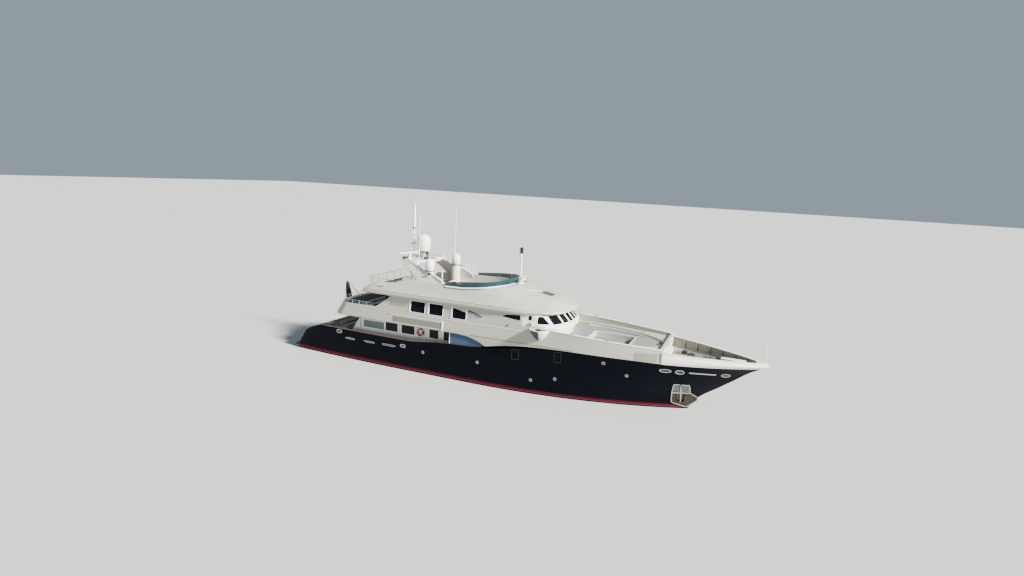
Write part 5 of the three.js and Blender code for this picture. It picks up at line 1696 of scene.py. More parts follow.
def build_foredeck():
    plan = [(x, fore_deck(x) - 0.04) for x in spread(7.1, 15.6, 30)]
    rear = [(x, fore_deck(x) - 0.04) for x in spread(2.95, 7.1, 10)]
    sheet = plate(whole_plan([*rear, *plan]), FORE_DECK, FORE_DECK + 0.014)
    well = TENDER_WELL
    hole = block((well["aft"], well["fore"]), (-well["half"], well["half"]), (5, 6), 0.15, 4)
    house = alike_both_sides([house_ring(z, 0.02, 2.9) for z in (5.3, 6)])
    add_piece("foredeck_sheet", carved(sheet, hole, house), "foredeck_paint")
    floor = block(
        (well["aft"] + 0.03, well["fore"] - 0.03), (-well["half"] + 0.03, well["half"] - 0.03),
        (well["floor"] + 0.13, well["floor"] + 0.15)
    )
    add_piece("tender_well_floor", floor, "foredeck_paint")
    lid_plan = eased(whole_plan([(12.85, 2.2), (13.6, 1.95), (14.5, 1.4), (15.15, 0.7), (15.35, 0.2)]), 0.25)
    lid = plate(lid_plan, FORE_DECK, 5.74)
    rounded_edges(lid, 0.05, 3)
    inset = [(x + (0.12 if x < 13.5 else -0.14), y * 0.93) for x, y in lid_plan]
    add_piece("foredeck_lid", lid, "white_paint")
    add_piece("foredeck_lid_tread", plate(inset, 5.74, 5.752), "foredeck_paint")
    parts, caps, brown = [], [], []
    edge = [(x, fore_deck(x) - 0.12, FORE_DECK + 0.1) for x in spread(7.4, 15.2, 40)]
    parts.append(both_sides(swept(edge, slab(0.12, 0.2))))
    for side in BOTH:
        cap = [
            (x, side * (shell_half(x, straight(SHELL_TOP, x)) - SHELL_WALL / 2), straight(SHELL_TOP, x))
            for x in spread(6.4, BREAK, 40)
        ]
        caps.append(swept(cap, slab(SHELL_WALL + 0.06, 0.07)))
        for inset in (0.42, 0.8):
            line = [(x, side * (fore_deck(x) - inset), FORE_DECK + 0.02) for x in spread(12.7, 15 - inset, 24)]
            brown.append(swept(line, slab(0.06, 0.05)))
    ring = [(well["aft"], -1.9), (well["fore"] + 0.05, -1.9), (well["fore"] + 0.05, 1.9), (well["aft"], 1.9)]
    parts.append(rim(eased(ring, 0.3), 0.12, FORE_DECK, FORE_DECK + 0.1, lambda a, b, out: (a, b, out)))
    add_piece("foredeck_coaming", parts, "white_paint")
    add_piece("foredeck_caps", caps, "bright_white")
    add_piece("foredeck_lines", brown, "louvre_shade")
    dark, bright = [], []
    for side in BOTH:
        for x in (7.9, 11.2):
            z = straight(SHELL_TOP, x) + 0.03
            y = side * (shell_half(x, z) - SHELL_WALL / 2)
            dark.append(block((x - 0.16, x + 0.16), (y - 0.07, y + 0.07), (z - 0.03, z + 0.05), 0.02))
        for x, half in ((13.2, 2.95), (15.6, 1.2)):
            bright += cleat(x, side * half, LEDGE if x < 14 else 5.97)
    dark += [
        block((11.4, 12), (side * 2.12 - 0.15, side * 2.12 + 0.15), (FORE_DECK, FORE_DECK + 0.06), 0.03)
        for side in BOTH
    ]
    add_piece("foredeck_hatches", dark, "dark_plastic")
    add_piece("foredeck_cleats", bright, "steel")


class YACHT_OT_foredeck(bpy.types.Operator):
    """Foredeck surface, floor of the tender well, raised lid, coaming, cleats and hatches"""

    bl_idname = "yacht.foredeck"
    bl_label = "Foredeck"

    def execute(self, context):
        build_foredeck()
        return {"FINISHED"}


def cleat(x, y, z):
    horn = [(x - 0.22, y, z + 0.13), (x - 0.1, y, z + 0.11), (x + 0.1, y, z + 0.11), (x + 0.22, y, z + 0.13)]
    return [
        tube(smooth_path(horn, 4), 0.03), rod((x - 0.07, y, z), (x - 0.07, y, z + 0.12), 0.035),
        rod((x + 0.07, y, z), (x + 0.07, y, z + 0.12), 0.035)
    ]


LOCKER = {"aft": 20.9, "fore": 23, "half": 0.28, "seam": 5.32, "top": 5.46}
# Radius and height along the axis of a windlass drum
DRUM = [
    (0, -0.32), (0.25, -0.32), (0.25, -0.27), (0.15, -0.22), (0.15, 0), (0.25, 0.06), (0.25, 0.12), (0.17, 0.16),
    (0.17, 0.3), (0.22, 0.33), (0, 0.33),
]


def build_mooring_deck():
    deck = MOORING_DECK
    plan = [(x, half_breadth(x, deck) - 0.16) for x in spread(16.35, 23.2, 24)]
    add_piece("mooring_teak", plate(whole_plan(plan), deck, deck + 0.012), "teak_deck")
    bed = block((17, 20.1), (-1, 1), (deck + 0.001, deck + 0.05), 0.015)
    metal, casing = [bed], []
    for side in BOTH:
        casing.append(block((17.85, 18.55), (side * 0.42, side * 0.78), (deck + 0.02, deck + 0.56), 0.07, 3))
        place = (18.2, side * 0.66, deck + 0.42)
        metal.append(moved(turned(DRUM, steps=32), place, (-side * pi / 2, "X")))
        for x in (19.4, 19.85):
            post = [(0, 0), (0.16, 0), (0.16, 0.03), (0.1, 0.06), (0.1, 0.34), (0.13, 0.37), (0.13, 0.42), (0, 0.43)]
            metal.append(turned(post, (x, side * 0.7, deck + 0.02), 28))
        metal.append(block((18.9, 19.15), (side * 0.2, side * 0.45), (deck + 0.03, deck + 0.25), 0.03))
        lead = [(18.4, 0.33, 0.45), (18.9, 0.33, 0.3), (19.6, 0.34, 0.1), (20.6, 0.5, 0.06)]
        metal.append(tube(smooth_path([(x, side * y, deck + z) for x, y, z in lead]), 0.035, 8))
        for x, half in ((17.2, 2.3), (20.4, 1.55)):
            casing.append(block((x, x + 0.5), (side * half, side * (half - 0.3)), (deck, deck + 0.35), 0.04))
        metal += [rod((21.3, side * 1.2, deck), (21.3, side * 1.2, deck + 0.35), 0.09), *cleat(22, side * 0.95, deck)]
    add_piece("windlass_metal", metal, "steel", "mooring_gear")
    add_piece("windlass_casings", casing, "dark_plastic")
    lk = LOCKER
    base = block((lk["aft"], lk["fore"]), (-lk["half"], lk["half"]), (deck + 0.001, lk["seam"]), 0.03, 3)
    add_piece("locker_body", base, "white_paint", "bow_locker")
    lid = block(
        (lk["aft"] - 0.03, lk["fore"] + 0.03), (-lk["half"], lk["half"]), (lk["seam"] + 0.002, lk["top"]), 0.04, 3
    )
    add_piece("locker_lid_top", lid, "bright_white", "bow_locker_lid", "locker_lid")
    path = [(x, -lk["half"] - out, 5.38) for x, out in ((21.8, 0), (21.85, 0.05), (22.05, 0.05), (22.1, 0))]
    grip = tube(smooth_path(path, 4), 0.012)
    add_piece("locker_grip", grip, "steel", body="locker_lid")


class YACHT_OT_mooring_deck(bpy.types.Operator):
    """Windlasses, bollards, chain stoppers and locker on the mooring deck"""

    bl_idname = "yacht.mooring_deck"
    bl_label = "Mooring deck"

    def execute(self, context):
        build_mooring_deck()
        return {"FINISHED"}


# Main house

# Columns: aft x, fore x, low height, high height
MAIN_WINDOWS = [
    (-15.9, -13.2, 3.8, 4.6), (-13, -11.5, 3.8, 4.7), (-11, -9.4, 3.8, 4.7), (-7.6, -6.5, 3.8, 4.7),
    (-5.9, -4.8, 3.8, 4.7),
]
MAIN_HOUSE = {"aft": -16.3, "fore": -2.5006, "half": 3.8, "wall": 0.12}
WING = [(-17.95, 2.4006), (-16.2, 2.4006), (-16.2, 4.9494), (-16.25, 4.9494)]
DOORWAY = {"half": 0.95, "high": 2.1}


def build_main_house():
    h = MAIN_HOUSE
    half, wall = h["half"], h["wall"]
    body = block((h["aft"], h["fore"]), (-half, half), (MAIN_DECK + 0.001, UPPER_BOTTOM - 0.001))
    space = block(
        (h["aft"] + wall, h["fore"] - wall), (-half + wall, half - wall), (MAIN_DECK - 0.4, UPPER_BOTTOM + 0.4)
    )
    door = block(
        (h["aft"] - 1, h["aft"] + 1), (-DOORWAY["half"], DOORWAY["half"]),
        (MAIN_DECK - 0.5, MAIN_DECK + DOORWAY["high"])
    )
    holes = [tinted(plate(rectangle(*w, 0.08), -6, 6, "Y"), 2) for w in MAIN_WINDOWS]
    shape = carved(body, tinted(space, 1), door, *holes)
    wings = [plate(WING, *sorted((side * half, side * (half - wall))), "Y") for side in BOTH]
    # Inside walls of the saloon take the darker inner finish: painted shade.
    add_piece("main_house_body", [shape, *wings], "white_paint inner_paint groove_paint", "main_house")
    frames = []
    for name, side in SIDES.items():
        lay = on_wall(side, half)
        inner = half - wall - 0.001
        strip = block((-16.05, -4.6), (side * inner, side * (inner - 0.03)), (3.75, 4.75))
        panes = [strip]
        for k, window in enumerate(MAIN_WINDOWS):
            outline = rectangle(*window, 0.08)
            panes.append(tinted(cover(outline, -0.05, -0.03, lay), 0 if k else 1))
            frames.append(rim(outline, 0.045, 0, 0.02, lay))
            frames.append(cover(rectangle(window[0] - 0.14, window[0] - 0.03, 3.76, 4.74, 0.02), 0, 0.03, lay))
        add_piece(f"main_panes_{name}", panes, "dark_glass teal_glass", f"main_glass_{name}")
        low = [(x, z + 0.02) for x, z in sheer_line(-4.8, -1.1)]
        top = [(x, shell_low(x) - 0.012) for x in spread(-1.1, -4.8, 24)]
        screen = plate([*low, *top], *sorted((side * 4.5, side * 4.53)), "Y")
        # Blue-tinted pane: its blue is a painted reflection of the sky.
        add_piece(f"side_screen_pane_{name}", screen, "blue_glass", f"side_screen_{name}")
        frames.append(swept([(-4.82, side * 4.515, z) for z in (3.65, 4.3, 4.94)], slab(0.06, 0.08)))
    add_piece("main_window_frames", frames, "bright_white")
    plan = [(x, half_breadth(x, MAIN_DECK) - 0.165) for x in spread(-20.78, -2.6, 40)]
    add_piece("main_teak", plate(whole_plan(plan), MAIN_DECK - 0.01, MAIN_DECK + 0.012), "teak_deck")
    plan = [
        (x, raked_half(x, UPPER_DECK) - SHELL_WALL - 0.02) for x in [*spread(-18.7, -17.4, 8), *spread(-17, -12.5, 8)]
    ]
    add_piece("upper_teak", plate(whole_plan(plan), UPPER_DECK - 0.005, UPPER_DECK + 0.012), "teak_deck")


class YACHT_OT_main_house(bpy.types.Operator):
    """Main-deck house with its windows and side-deck screens"""

    bl_idname = "yacht.main_house"
    bl_label = "Main house"

    def execute(self, context):
        build_main_house()
        return {"FINISHED"}


def build_life_rings():
    rings = []
    for side in BOTH:
        bands = []
        for quarter in range(4):
            start = tau * (quarter + 0.5) / 4
            arc = [(0.33 * cos(start + a), 0.33 * sin(start + a), 0) for a in spread(-0.07, 0.07, 5)]
            bands.append(tube(arc, 0.112, 14))
        hook = block((-0.05, 0.05), (0.2, 0.32), (-0.1, 0.1), 0.02)
        whole = upright(layered([hoop(0.33, 0.105, 36, 14)], [*bands, hook]))
        rings.append(moved(whole, (-8.62, side * 3.91, 4.22)))
    add_piece("life_ring_pair", rings, "ring_cloth bright_white")


class YACHT_OT_life_rings(bpy.types.Operator):
    """Life rings with their bands, on the sides of the main house"""

    bl_idname = "yacht.life_rings"
    bl_label = "Life rings"

    def execute(self, context):
        build_life_rings()
        return {"FINISHED"}


# Sliding door leaves: name, start of the node's and the body's name, inner face of the bulkhead, floor
DOORS = [
    ("saloon", "saloon_door", MAIN_HOUSE["aft"] + MAIN_HOUSE["wall"], MAIN_DECK),
    ("upper", "upper_door", BULKHEAD["aft"] + BULKHEAD["thick"], UPPER_DECK),
]


def build_doors():
    for name, node, inner, floor in DOORS:
        x = inner + 0.016
        top = floor + DOORWAY["high"] + 0.08
        for ending, side in SIDES.items():
            y = sorted((side * 0.01, side * (DOORWAY["half"] + 0.06)))
            pane = block((x + 0.012, x + 0.038), (y[0] + 0.05, y[1] - 0.05), (floor + 0.06, top - 0.06))
            stiles = [block((x, x + 0.05), (at, at + 0.07), (floor + 0.001, top), 0.008) for at in (y[0], y[1] - 0.07)]
            rails = [block((x, x + 0.05), y, (z, z + 0.08), 0.008) for z in (floor + 0.001, top - 0.08)]
            grip_y = side * 0.045
            grip = rod((x - 0.008, grip_y, floor + 0.9), (x - 0.008, grip_y, floor + 1.3), 0.007, sides=8)
            whole = layered([pane], [*stiles, *rails, grip])
            add_piece(f"{name}_leaf_{ending}", whole, "dark_glass steel", f"{node}_{ending}", f"{node}_{ending[0]}")


class YACHT_OT_doors(bpy.types.Operator):
    """Sliding door leaves of the two houses, with frames and grips"""

    bl_idname = "yacht.doors"
    bl_label = "Sliding doors"

    def execute(self, context):
        build_doors()
        return {"FINISHED"}


# Radar arch

ARCH = {"low": 9.5, "platform": 11.3, "top": 11.55, "lean": 0.36, "y": 3.42, "thick": 0.26}
ARCH_LEG = [
    (-9.4, 9.2), (-6.3, 9.2), (-6.3, 9.7), (-7.1, 10.15), (-7.8, 10.42), (-9, 10.66), (-9.7, 11.1), (-9.9, 11.55),
    (-11.5, 11.55), (-11.62, 10.95), (-10.5, 10.4),
]
# Columns: name, x, y, half length, degrees from the centre line at rest
SCANNERS = [("aft", -11.4, -1.85, 1.5, 75), ("fore", -9.3, 0, 1.1, -8)]
SCANNER_SEAT = 12.05
MAST_X = -12.05
MAIN_DOME_X = -10.8
# Columns: name, x, y, seat, radius, height
DOMES = [
    ("main_dome", MAIN_DOME_X, 0, 12.3, 0.72, 1.8), ("dome_stbd", -8.3, -2.85, 10.7, 0.5, 1.25),
    ("dome_port", -8.3, 2.85, 10.7, 0.5, 1.25),
]


def leg_middle(z):
    return ARCH["y"] - ARCH["lean"] * (z - ARCH["low"])


def on_leg(side):
    return lambda x, z, out: (x, side * (leg_middle(z) + ARCH["thick"] / 2 + out), z)


def build_radar_arch():
    leg = plate(eased(ARCH_LEG, 0.22, 3), -ARCH["thick"] / 2, ARCH["thick"] / 2, "Y")
    rounded_edges(leg, 0.05, 3)
    for vert in leg.verts:
        vert.co.y += leg_middle(vert.co.z)
    legs = both_sides(leg)
    half = leg_middle(ARCH["top"]) + ARCH["thick"] / 2
    outline = eased(whole_plan([(-8.95, 0.5), (-9.35, 1.8), (-9.9, half), (-11.5, half), (-12.3, 2)]), 0.2)
    deck = plate(outline, ARCH["platform"], ARCH["top"])
    rounded_edges(deck, 0.05, 3)
    parts = [legs, deck]
    for side in BOTH:
        rows = [
            (0, 8.06), (0.52, 8.06), (0.5, 8.2), (0.5, 10.3), (0.46, 10.5), (0.46, 10.62), (0.5, 10.66), (0.5, 10.695),
            (0, 10.695)
        ]
        parts.append(turned(rows, (-8.3, side * 2.85, 0)))
        parts.append(plate([(-8.75, 9.6), (-7.85, 9.6), (-7.9, 10.3), (-8.7, 10.5)], 2.9, 3.25, "Y"))
    rows = [(0, 11.5), (0.26, 11.5), (0.2, 11.62), (0.17, 11.75), (0.17, 11.98), (0.2, 12.04), (0, 12.04)]
    parts += [turned(rows, (x, y, 0)) for _, x, y, *_ in SCANNERS]
    parts.append(
        turned([(0, 11.5), (0.3, 11.5), (0.24, 11.7), (0.22, 12.28), (0.4, 12.295), (0, 12.295)], (MAIN_DOME_X, 0, 0))
    )
    add_piece("arch_body", parts, "white_paint", "radar_arch")
    dark = []
    for k in range(8):
        a = tau * k / 8
        for twist in (-0.4, 0.4):
            foot = (MAIN_DOME_X + 0.46 * cos(a), 0.46 * sin(a), 11.54)
            head = (MAIN_DOME_X + 0.44 * cos(a + twist), 0.44 * sin(a + twist), 12.27)
            dark.append(rod(foot, head, 0.025, sides=8))
    dark.append(turned([(0.3, 12.24), (0.56, 12.24), (0.56, 12.3), (0.3, 12.3), (0.3, 12.24)], (MAIN_DOME_X, 0, 0)))
    for side in BOTH:
        lay = on_leg(side)
        # Dark strip along the aft edge of each leg: painted shadow of that edge.
        aft_shadow_line = [lay(mix(-9.52, -10.5, s), mix(9.6, 10.46, s), 0.004) for s in spread(0, 1, 8)]
        fore_line = [(mix(-8.35, -7.55, s) + 0.1 * s * (1 - s), mix(10.09, 9.5, s)) for s in spread(0, 1, 10)]
        dark.append(swept(aft_shadow_line, slab(0.02, 0.07)))
        dark.append(swept([lay(x, z, 0.004) for x, z in fore_line], slab(0.014, 0.035)))
        dark.append(
            turned([(0.4, 10.66), (0.53, 10.66), (0.53, 10.72), (0.4, 10.72), (0.4, 10.66)], (-8.3, side * 2.85, 0))
        )
        dark.append(block((-11.95, -11.6), (side * 1.9, side * 2.5), (11.55, 11.75), 0.04))
        dark.append(block((-8.2, -7.9), (side * 3.35, side * 3.5), (10.3, 10.55), 0.03))
    dark.append(block((-10, -9.7), (-1.3, -0.8), (11.55, 11.78), 0.03))
    add_piece("arch_dark_fittings", dark, "dark_plastic")
    small = [rod((-6.45, side * 3.5, 9.6), (-6.45, side * 3.5, 10.92), 0.055) for side in BOTH]
    small += [rod((-7.26, side * 3.35, 9.9), (-7.26, side * 3.35, 11.1), 0.025) for side in BOTH]
    small += [rod((x, 3.45, 9.6), (x, 3.45, z), 0.02) for x, z in ((-6.85, 10.9), (-6.1, 11))]
    small.append(turned([(0, 0), (0.05, 0), (0.06, 0.28), (0.16, 0.4), (0, 0.36)], (-8.4, 0.5, 11.4)))
    small.append(block((-9.15, -8.85), (-0.32, 0.32), (11.5, 11.72), 0.05, 3))
    for side, x, top in ((-1, -9.45, 16.3), (1, -8.6, 17.2)):
        y = side * (leg_middle(10.5) + 0.02)
        small += [rod((x, y, 9.5), (x, y, 10.7), 0.05, 0.045), rod((x, y, 10.6), (x, y, top), 0.045, 0.024, 10)]
    add_piece("arch_fittings", small, "bright_white")


class YACHT_OT_radar_arch(bpy.types.Operator):
    """Radar arch with its platform, columns and scanner pedestals"""

    bl_idname = "yacht.radar_arch"
    bl_label = "Radar arch"

    def execute(self, context):
        build_radar_arch()
        return {"FINISHED"}


def build_scanners_and_domes():
    for name, x, y, reach, turn in SCANNERS:
        blade = block((-reach, reach), (-0.09, 0.09), (0.09, 0.2), 0.035, 3)
        face = block((-reach + 0.05, reach - 0.05), (0.085, 0.094), (0.11, 0.18))
        hub = turned([(0, 0.001), (0.14, 0.001), (0.14, 0.05), (0.1, 0.09), (0.1, 0.12), (0, 0.12)])
        whole = moved(layered([blade, hub], [face]), (x, y, SCANNER_SEAT), (radians(turn), "Z"))
        add_piece(f"scanner_bar_{name}", whole, "bright_white groove_paint", f"radar_scanner_{name}", f"scanner_{name}")
    for name, x, y, seat, radius, height in DOMES:
        centre = seat + height - radius
        rows = [(0, seat), (radius * 0.84, seat), (radius * 0.86, seat + 0.03), (radius * 0.93, seat + 0.06 * height)]
        rows += [
            (radius * 0.975, seat + 0.13 * height), (radius * 0.962, seat + 0.137 * height),
            (radius * 0.985, seat + 0.147 * height)
        ]
        rows += [(radius * cos(a), centre + radius * sin(a)) for a in spread(0, pi / 2, 14)]
        rows[-1] = (0, seat + height)
        add_piece(f"{name}_shell", turned(rows, (x, y, 0), 56), "bright_white", name, sharp=50)


class YACHT_OT_scanners_and_domes(bpy.types.Operator):
    """Turning radar scanners and the satellite domes"""

    bl_idname = "yacht.scanners_and_domes"
    bl_label = "Scanners and domes"

    def execute(self, context):
        build_scanners_and_domes()
        return {"FINISHED"}


def build_masts():
    white = [
        rod((MAST_X, 0, ARCH["top"]), (MAST_X, 0, 15), 0.085, 0.07),
        rod((MAST_X, 0, 14.8), (MAST_X, 0, 17.1), 0.12, 0.1),
        rod((MAST_X, 0, 17.1), (MAST_X, 0, 17.28), 0.06),
        block((-12.2, -11.7), (-0.4, 0.14), (ARCH["top"] + 0.001, ARCH["top"] + 0.05), 0.015),
        rod((-11.85, -0.3, ARCH["top"] + 0.03), (-11.85, -0.3, 16), 0.03, 0.018, 10),
        rod((MAST_X, -0.55, 14.2), (MAST_X, 0.55, 14.2), 0.035),
        rod((MAST_X, -0.4, 12.9), (MAST_X, 0.4, 12.9), 0.03),
    ]
    lamps = [turned([(0, 0), (0.06, 0), (0.06, 0.16), (0.04, 0.2), (0, 0.2)], (MAST_X, y, 14.2)) for y in (-0.5, 0.5)]
    dark = [turned([(0, 0), (0.07, 0), (0.07, 0.2), (0, 0.2)], (MAST_X, y, 12.9)) for y in (-0.36, 0.36)]
    dark.append(block((-12.2, -11.95), (-0.1, 0.1), (14.6, 14.8), 0.02))
    add_piece("mast_pole_dressed", layered(white, lamps, dark), "bright_white clear_lamp dark_plastic", "mast_pole")
    white = [
        rod((0.78, 0, 9.85), (0.72, 0, 13.08), 0.11, 0.085), rod((0.5, 0, 13), (0.5, 0, 13.9), 0.03),
        block((0.86, 1.1), (-0.5, 0.5), (10.3, 10.42), 0.03), block((0.5, 1.05), (-0.3, 0.3), (9.92, 10.06), 0.04)
    ]
    lamps, dark = [], []
    for side in BOTH:
        body = moved(
            turned([(0, -0.17), (0.1, -0.17), (0.16, -0.08), (0.17, 0.1), (0, 0.1)], steps=28),
            (1.04, side * 0.4, 10.62), (pi / 2, "Y")
        )
        glass = moved(
            turned([(0, 0.1), (0.15, 0.1), (0.13, 0.13), (0, 0.15)], steps=28), (1.04, side * 0.4, 10.62), (pi / 2, "Y")
        )
        white += [body, rod((1, side * 0.4, 10.4), (1, side * 0.4, 10.55), 0.05)]
        lamps.append(glass)
    dark += [block((0.58, 0.9), (-0.1, 0.1), (13.1, 13.7), 0.04), rod((0.45, 0, 13.05), (0.95, 0, 13.05), 0.03)]
    add_piece("foremast_dressed", layered(white, lamps, dark), "bright_white clear_lamp dark_plastic", "foremast")


class YACHT_OT_masts(bpy.types.Operator):
    """Mast pole with its aerials and lights, and the foremast with the searchlights"""

    bl_idname = "yacht.masts"
    bl_label = "Masts"

    def execute(self, context):
        build_masts()
        return {"FINISHED"}


# Ensign

STAFF = ((-18.95, 0, 6), (-21.2, 0, 7.85))
# Columns: share of the way down, aft x, fore x, height at the aft side, height at the fore side
ensign_edge = Fair([
    (0, -21.2, -20.85, 7.76, 7.5), (0.2, -21.33, -20.68, 7.26, 7.06), (0.5, -21.34, -20.5, 6.55, 6.42),
    (0.8, -21.3, -20.42, 5.86, 5.78), (1, -21.26, -20.46, 5.38, 5.36),
])
ENSIGN_FOLDS = 4


def build_ensign():
    staff = [rod(*STAFF, 0.04, 0.03), turned([(0, 0), (0.05, 0.02), (0.05, 0.07), (0, 0.1)], (-21.2, 0, 7.82), 20)]
    staff.append(block((-19.05, -18.85), (-0.09, 0.09), (6.1, 6.32), 0.03))
    add_piece("ensign_staff_pole", staff, "varnished_teak", "ensign_staff")

    def place(u, v):
        aft, fore, aft_z, fore_z = (ensign_edge(v, column) for column in (1, 2, 3, 4))
        open_up = 0.35 + 0.65 * min(1, v * 2.5)
        phase = tau * ENSIGN_FOLDS * u + 0.9 * sin(3.1 * v) + 0.5
        swing = sin(phase) + 0.28 * sin(2.3 * phase + 4 * v)
        x = mix(aft, fore, u) + 0.012 * cos(2 * phase) * open_up
        return (x, 0.052 * open_up * swing, mix(aft_z, fore_z, u) + 0.02 * sin(9 * u + 1) * v)

    cloth = grid_of(spread(0, 1, 96), spread(0, 1, 80), place)
    bmesh.ops.recalc_face_normals(cloth, faces=cloth.faces)
    area = sum(face.calc_area() for face in cloth.faces) * SCALE**2
    piece = add_piece("ensign_cloth", cloth, "ensign_cloth", "ensign")
    length = 2.5 * SCALE
    thick = piece.modifiers.new("thick", "SOLIDIFY")
    thick.thickness, thick.offset = 0.0012, 0
    round(area / length, 3)


class YACHT_OT_ensign(bpy.types.Operator):
    """Ensign hanging in folds from its staff"""

    bl_idname = "yacht.ensign"
    bl_label = "Ensign"

    def execute(self, context):
        build_ensign()
        return {"FINISHED"}


# Guard rails

SUN_RAIL_PLAN = [(-12.2, 3.8), (-13.4, 3.85), (-14.5, 3.9), (-15.2, 3.68), (-15.48, 2.6), (-15.48, 1)]


def guard_rail(plan, foot, height, wires=2):
    """Rail, wires and stanchions over a plan of x and half-breadth, on both sides and across the stern."""
    corners = [*plan, *[(x, -y) for x, y in reversed(plan)]]
    path = smooth_path([(x, y, 0) for x, y in corners], 5)
    radius = sizes().rail
    parts = [tube([(p.x, p.y, height) for p in path], radius)]
    for k in range(wires):
        level = mix(foot + 0.05, height, (k + 1) / (wires + 1))
        parts.append(tube([(p.x, p.y, level) for p in path], 0.012, 6))
    for p in path[::4]:
        parts.append(rod((p.x, p.y, foot), (p.x, p.y, height), radius * 0.9, sides=10))
    return joined(*parts)


def build_rails():
    middle = [(x, shell_half(x, 6.35) - SHELL_WALL / 2) for x in (-14.4, -15.6, -16.8)]
    edge = [
        (x + shell_rake(x) * (6.3 - UPPER_BOTTOM) + 0.12, shell_half(x, 6.3) - 0.09)
        for x in (-18.4, -19.2, -19.75, -20.1)
    ]
    add_piece("upper_deck_rail", guard_rail([*middle, *edge, (-19.3, 0.7)], 6.25, 6.72, 1), "steel", "upper_rail")
    add_piece("sun_deck_rail", guard_rail(SUN_RAIL_PLAN, 8.2, 9.35), "steel", "sun_rail")


class YACHT_OT_rails(bpy.types.Operator):
    """Guard rails of the upper deck and the sun deck"""

    bl_idname = "yacht.rails"
    bl_label = "Guard rails"

    def execute(self, context):
        build_rails()
        return {"FINISHED"}


# Seats, tables and the bar

# Columns: name, aft x, fore x, half-breadth, floor, height of the seat, side of the back
SEATS = [
    ("aft_sofa", -20.6, -19.6, 1.9, MAIN_DECK, 0.36, "aft"), ("upper_sofa", -17.5, -16.5, 2.2, UPPER_DECK, 0.36, "aft"),
    ("sun_sofa", -2, -1.1, 1.9, SUN_DECK, 0.36, "fore"),
]
CUSHION_THICK = 0.16
CUSHION_CLOTH = {"voxel": 0.0165, "pressure": 4, "cap": 0.009, "frames": 20}


def cushions(name, shapes, node):
    """Piece of filled pads, with its faces smoothed by subdivision."""
    piece = add_piece(name, shapes, "cushion_cloth", node, sharp=60)
    smooth = piece.modifiers.new("smooth", "SUBSURF")
    smooth.levels = smooth.render_levels = 1


def filled(bm):
    """Pad in ship metres, blown up by a cloth simulation from a slightly smaller shape."""
    bmesh.ops.scale(bm, vec=(SCALE,) * 3, verts=bm.verts)
    low = min(vert.co.z for vert in bm.verts)
    thing = stand_in(bm)
    even = thing.modifiers.new("even", "REMESH")
    even.mode, even.voxel_size = "VOXEL", CUSHION_CLOTH["voxel"]
    depsgraph = bpy.context.evaluated_depsgraph_get()
    start = bmesh.new()
    start.from_object(thing, depsgraph)
    bpy.data.objects.remove(thing)
    pad = stand_in(start.copy())
    cloth = pad.modifiers.new("fill", "CLOTH")
    cloth.settings.quality = 4
    cloth.settings.use_pressure = True
    cloth.settings.uniform_pressure_force = CUSHION_CLOTH["pressure"]
    cloth.settings.effector_weights.gravity = 0
    cloth.collision_settings.use_collision = False
    cloth.point_cache.frame_start, cloth.point_cache.frame_end = 1, CUSHION_CLOTH["frames"]
    for now in range(1, CUSHION_CLOTH["frames"] + 1):
        bpy.context.scene.frame_set(now)
    grown = bmesh.new()
    grown.from_object(pad, bpy.context.evaluated_depsgraph_get())
    grown.verts.ensure_lookup_table()
    start.verts.ensure_lookup_table()
    for old, new in zip(start.verts, grown.verts):
        step = new.co - old.co
        if step.length > CUSHION_CLOTH["cap"]:
            new.co = old.co + step.normalized() * CUSHION_CLOTH["cap"]
        new.co.z = max(new.co.z, low)
    bpy.data.objects.remove(pad)
    start.free()
    bpy.context.scene.frame_set(1)
    bmesh.ops.scale(grown, vec=(1 / SCALE,) * 3, verts=grown.verts)
    return grown


def pad_row(x, half, z, count, gap=0.03, grow=0.014):
    """Row of like pads across the ship between pairs of x and z, with piped edges."""
    width = 2 * half / count
    side = width / 2 - gap / 2
    pad = filled(block((x[0] + grow, x[1] - grow), (grow - side, side - grow), (z[0] + 0.004, z[1] - grow), 0.03, 2))
    level = z[1] - 0.03
    edge = rectangle(x[0] + 0.015, x[1] - 0.015, 0.015 - side, side - 0.015, 0.05)
    shapes = []
    for k in range(count):
        middle = -half + width * (k + 0.5)
        piping = tube([(a, b, level) for a, b in edge], 0.008, 6, closed=True)
        shapes += [moved(pad.copy(), (0, middle, 0)), moved(piping, (0, middle, 0))]
    pad.free()
    return shapes


def build_seats():
    for name, aft, fore, half, floor, height, back in SEATS:
        base = block((aft, fore), (-half, half), (floor + 0.013, floor + height), 0.04, 3)
        rear = (aft, aft + 0.2) if back == "aft" else (fore - 0.2, fore)
        rest = block(rear, (-half, half), (floor + height - 0.1, floor + 0.8), 0.05, 3)
        kick = block((aft + 0.05, fore - 0.05), (-half + 0.05, half - 0.05), (floor + 0.012, floor + 0.06))
        add_piece(f"{name}_frame", layered([base, rest], [kick]), "white_paint dark_plastic", name)
        low, high = (aft + 0.22, fore) if back == "aft" else (aft, fore - 0.22)
        seat = floor + height + 0.001
        pads = pad_row((low, high), half - 0.02, (seat, seat + CUSHION_THICK), 4)
        x = (aft + 0.2, aft + 0.34) if back == "aft" else (fore - 0.34, fore - 0.2)
        backs = pad_row(x, half - 0.05, (seat + CUSHION_THICK + 0.01, floor + 0.86), 4)
        cushions(f"{name}_pads", [*pads, *backs], f"{name}_cushion")
    plinth = block((-14.88, -12.92), (-2.38, 2.38), (SUN_DECK + 0.016, SUN_DECK + 0.14), 0.03)
    add_piece("sun_pad_plinth", plinth, "white_paint")
    cushions("sun_pad_pads", pad_row((-14.88, -12.92), 2.38, (SUN_DECK + 0.15, SUN_DECK + 0.35), 4), "sun_pad")


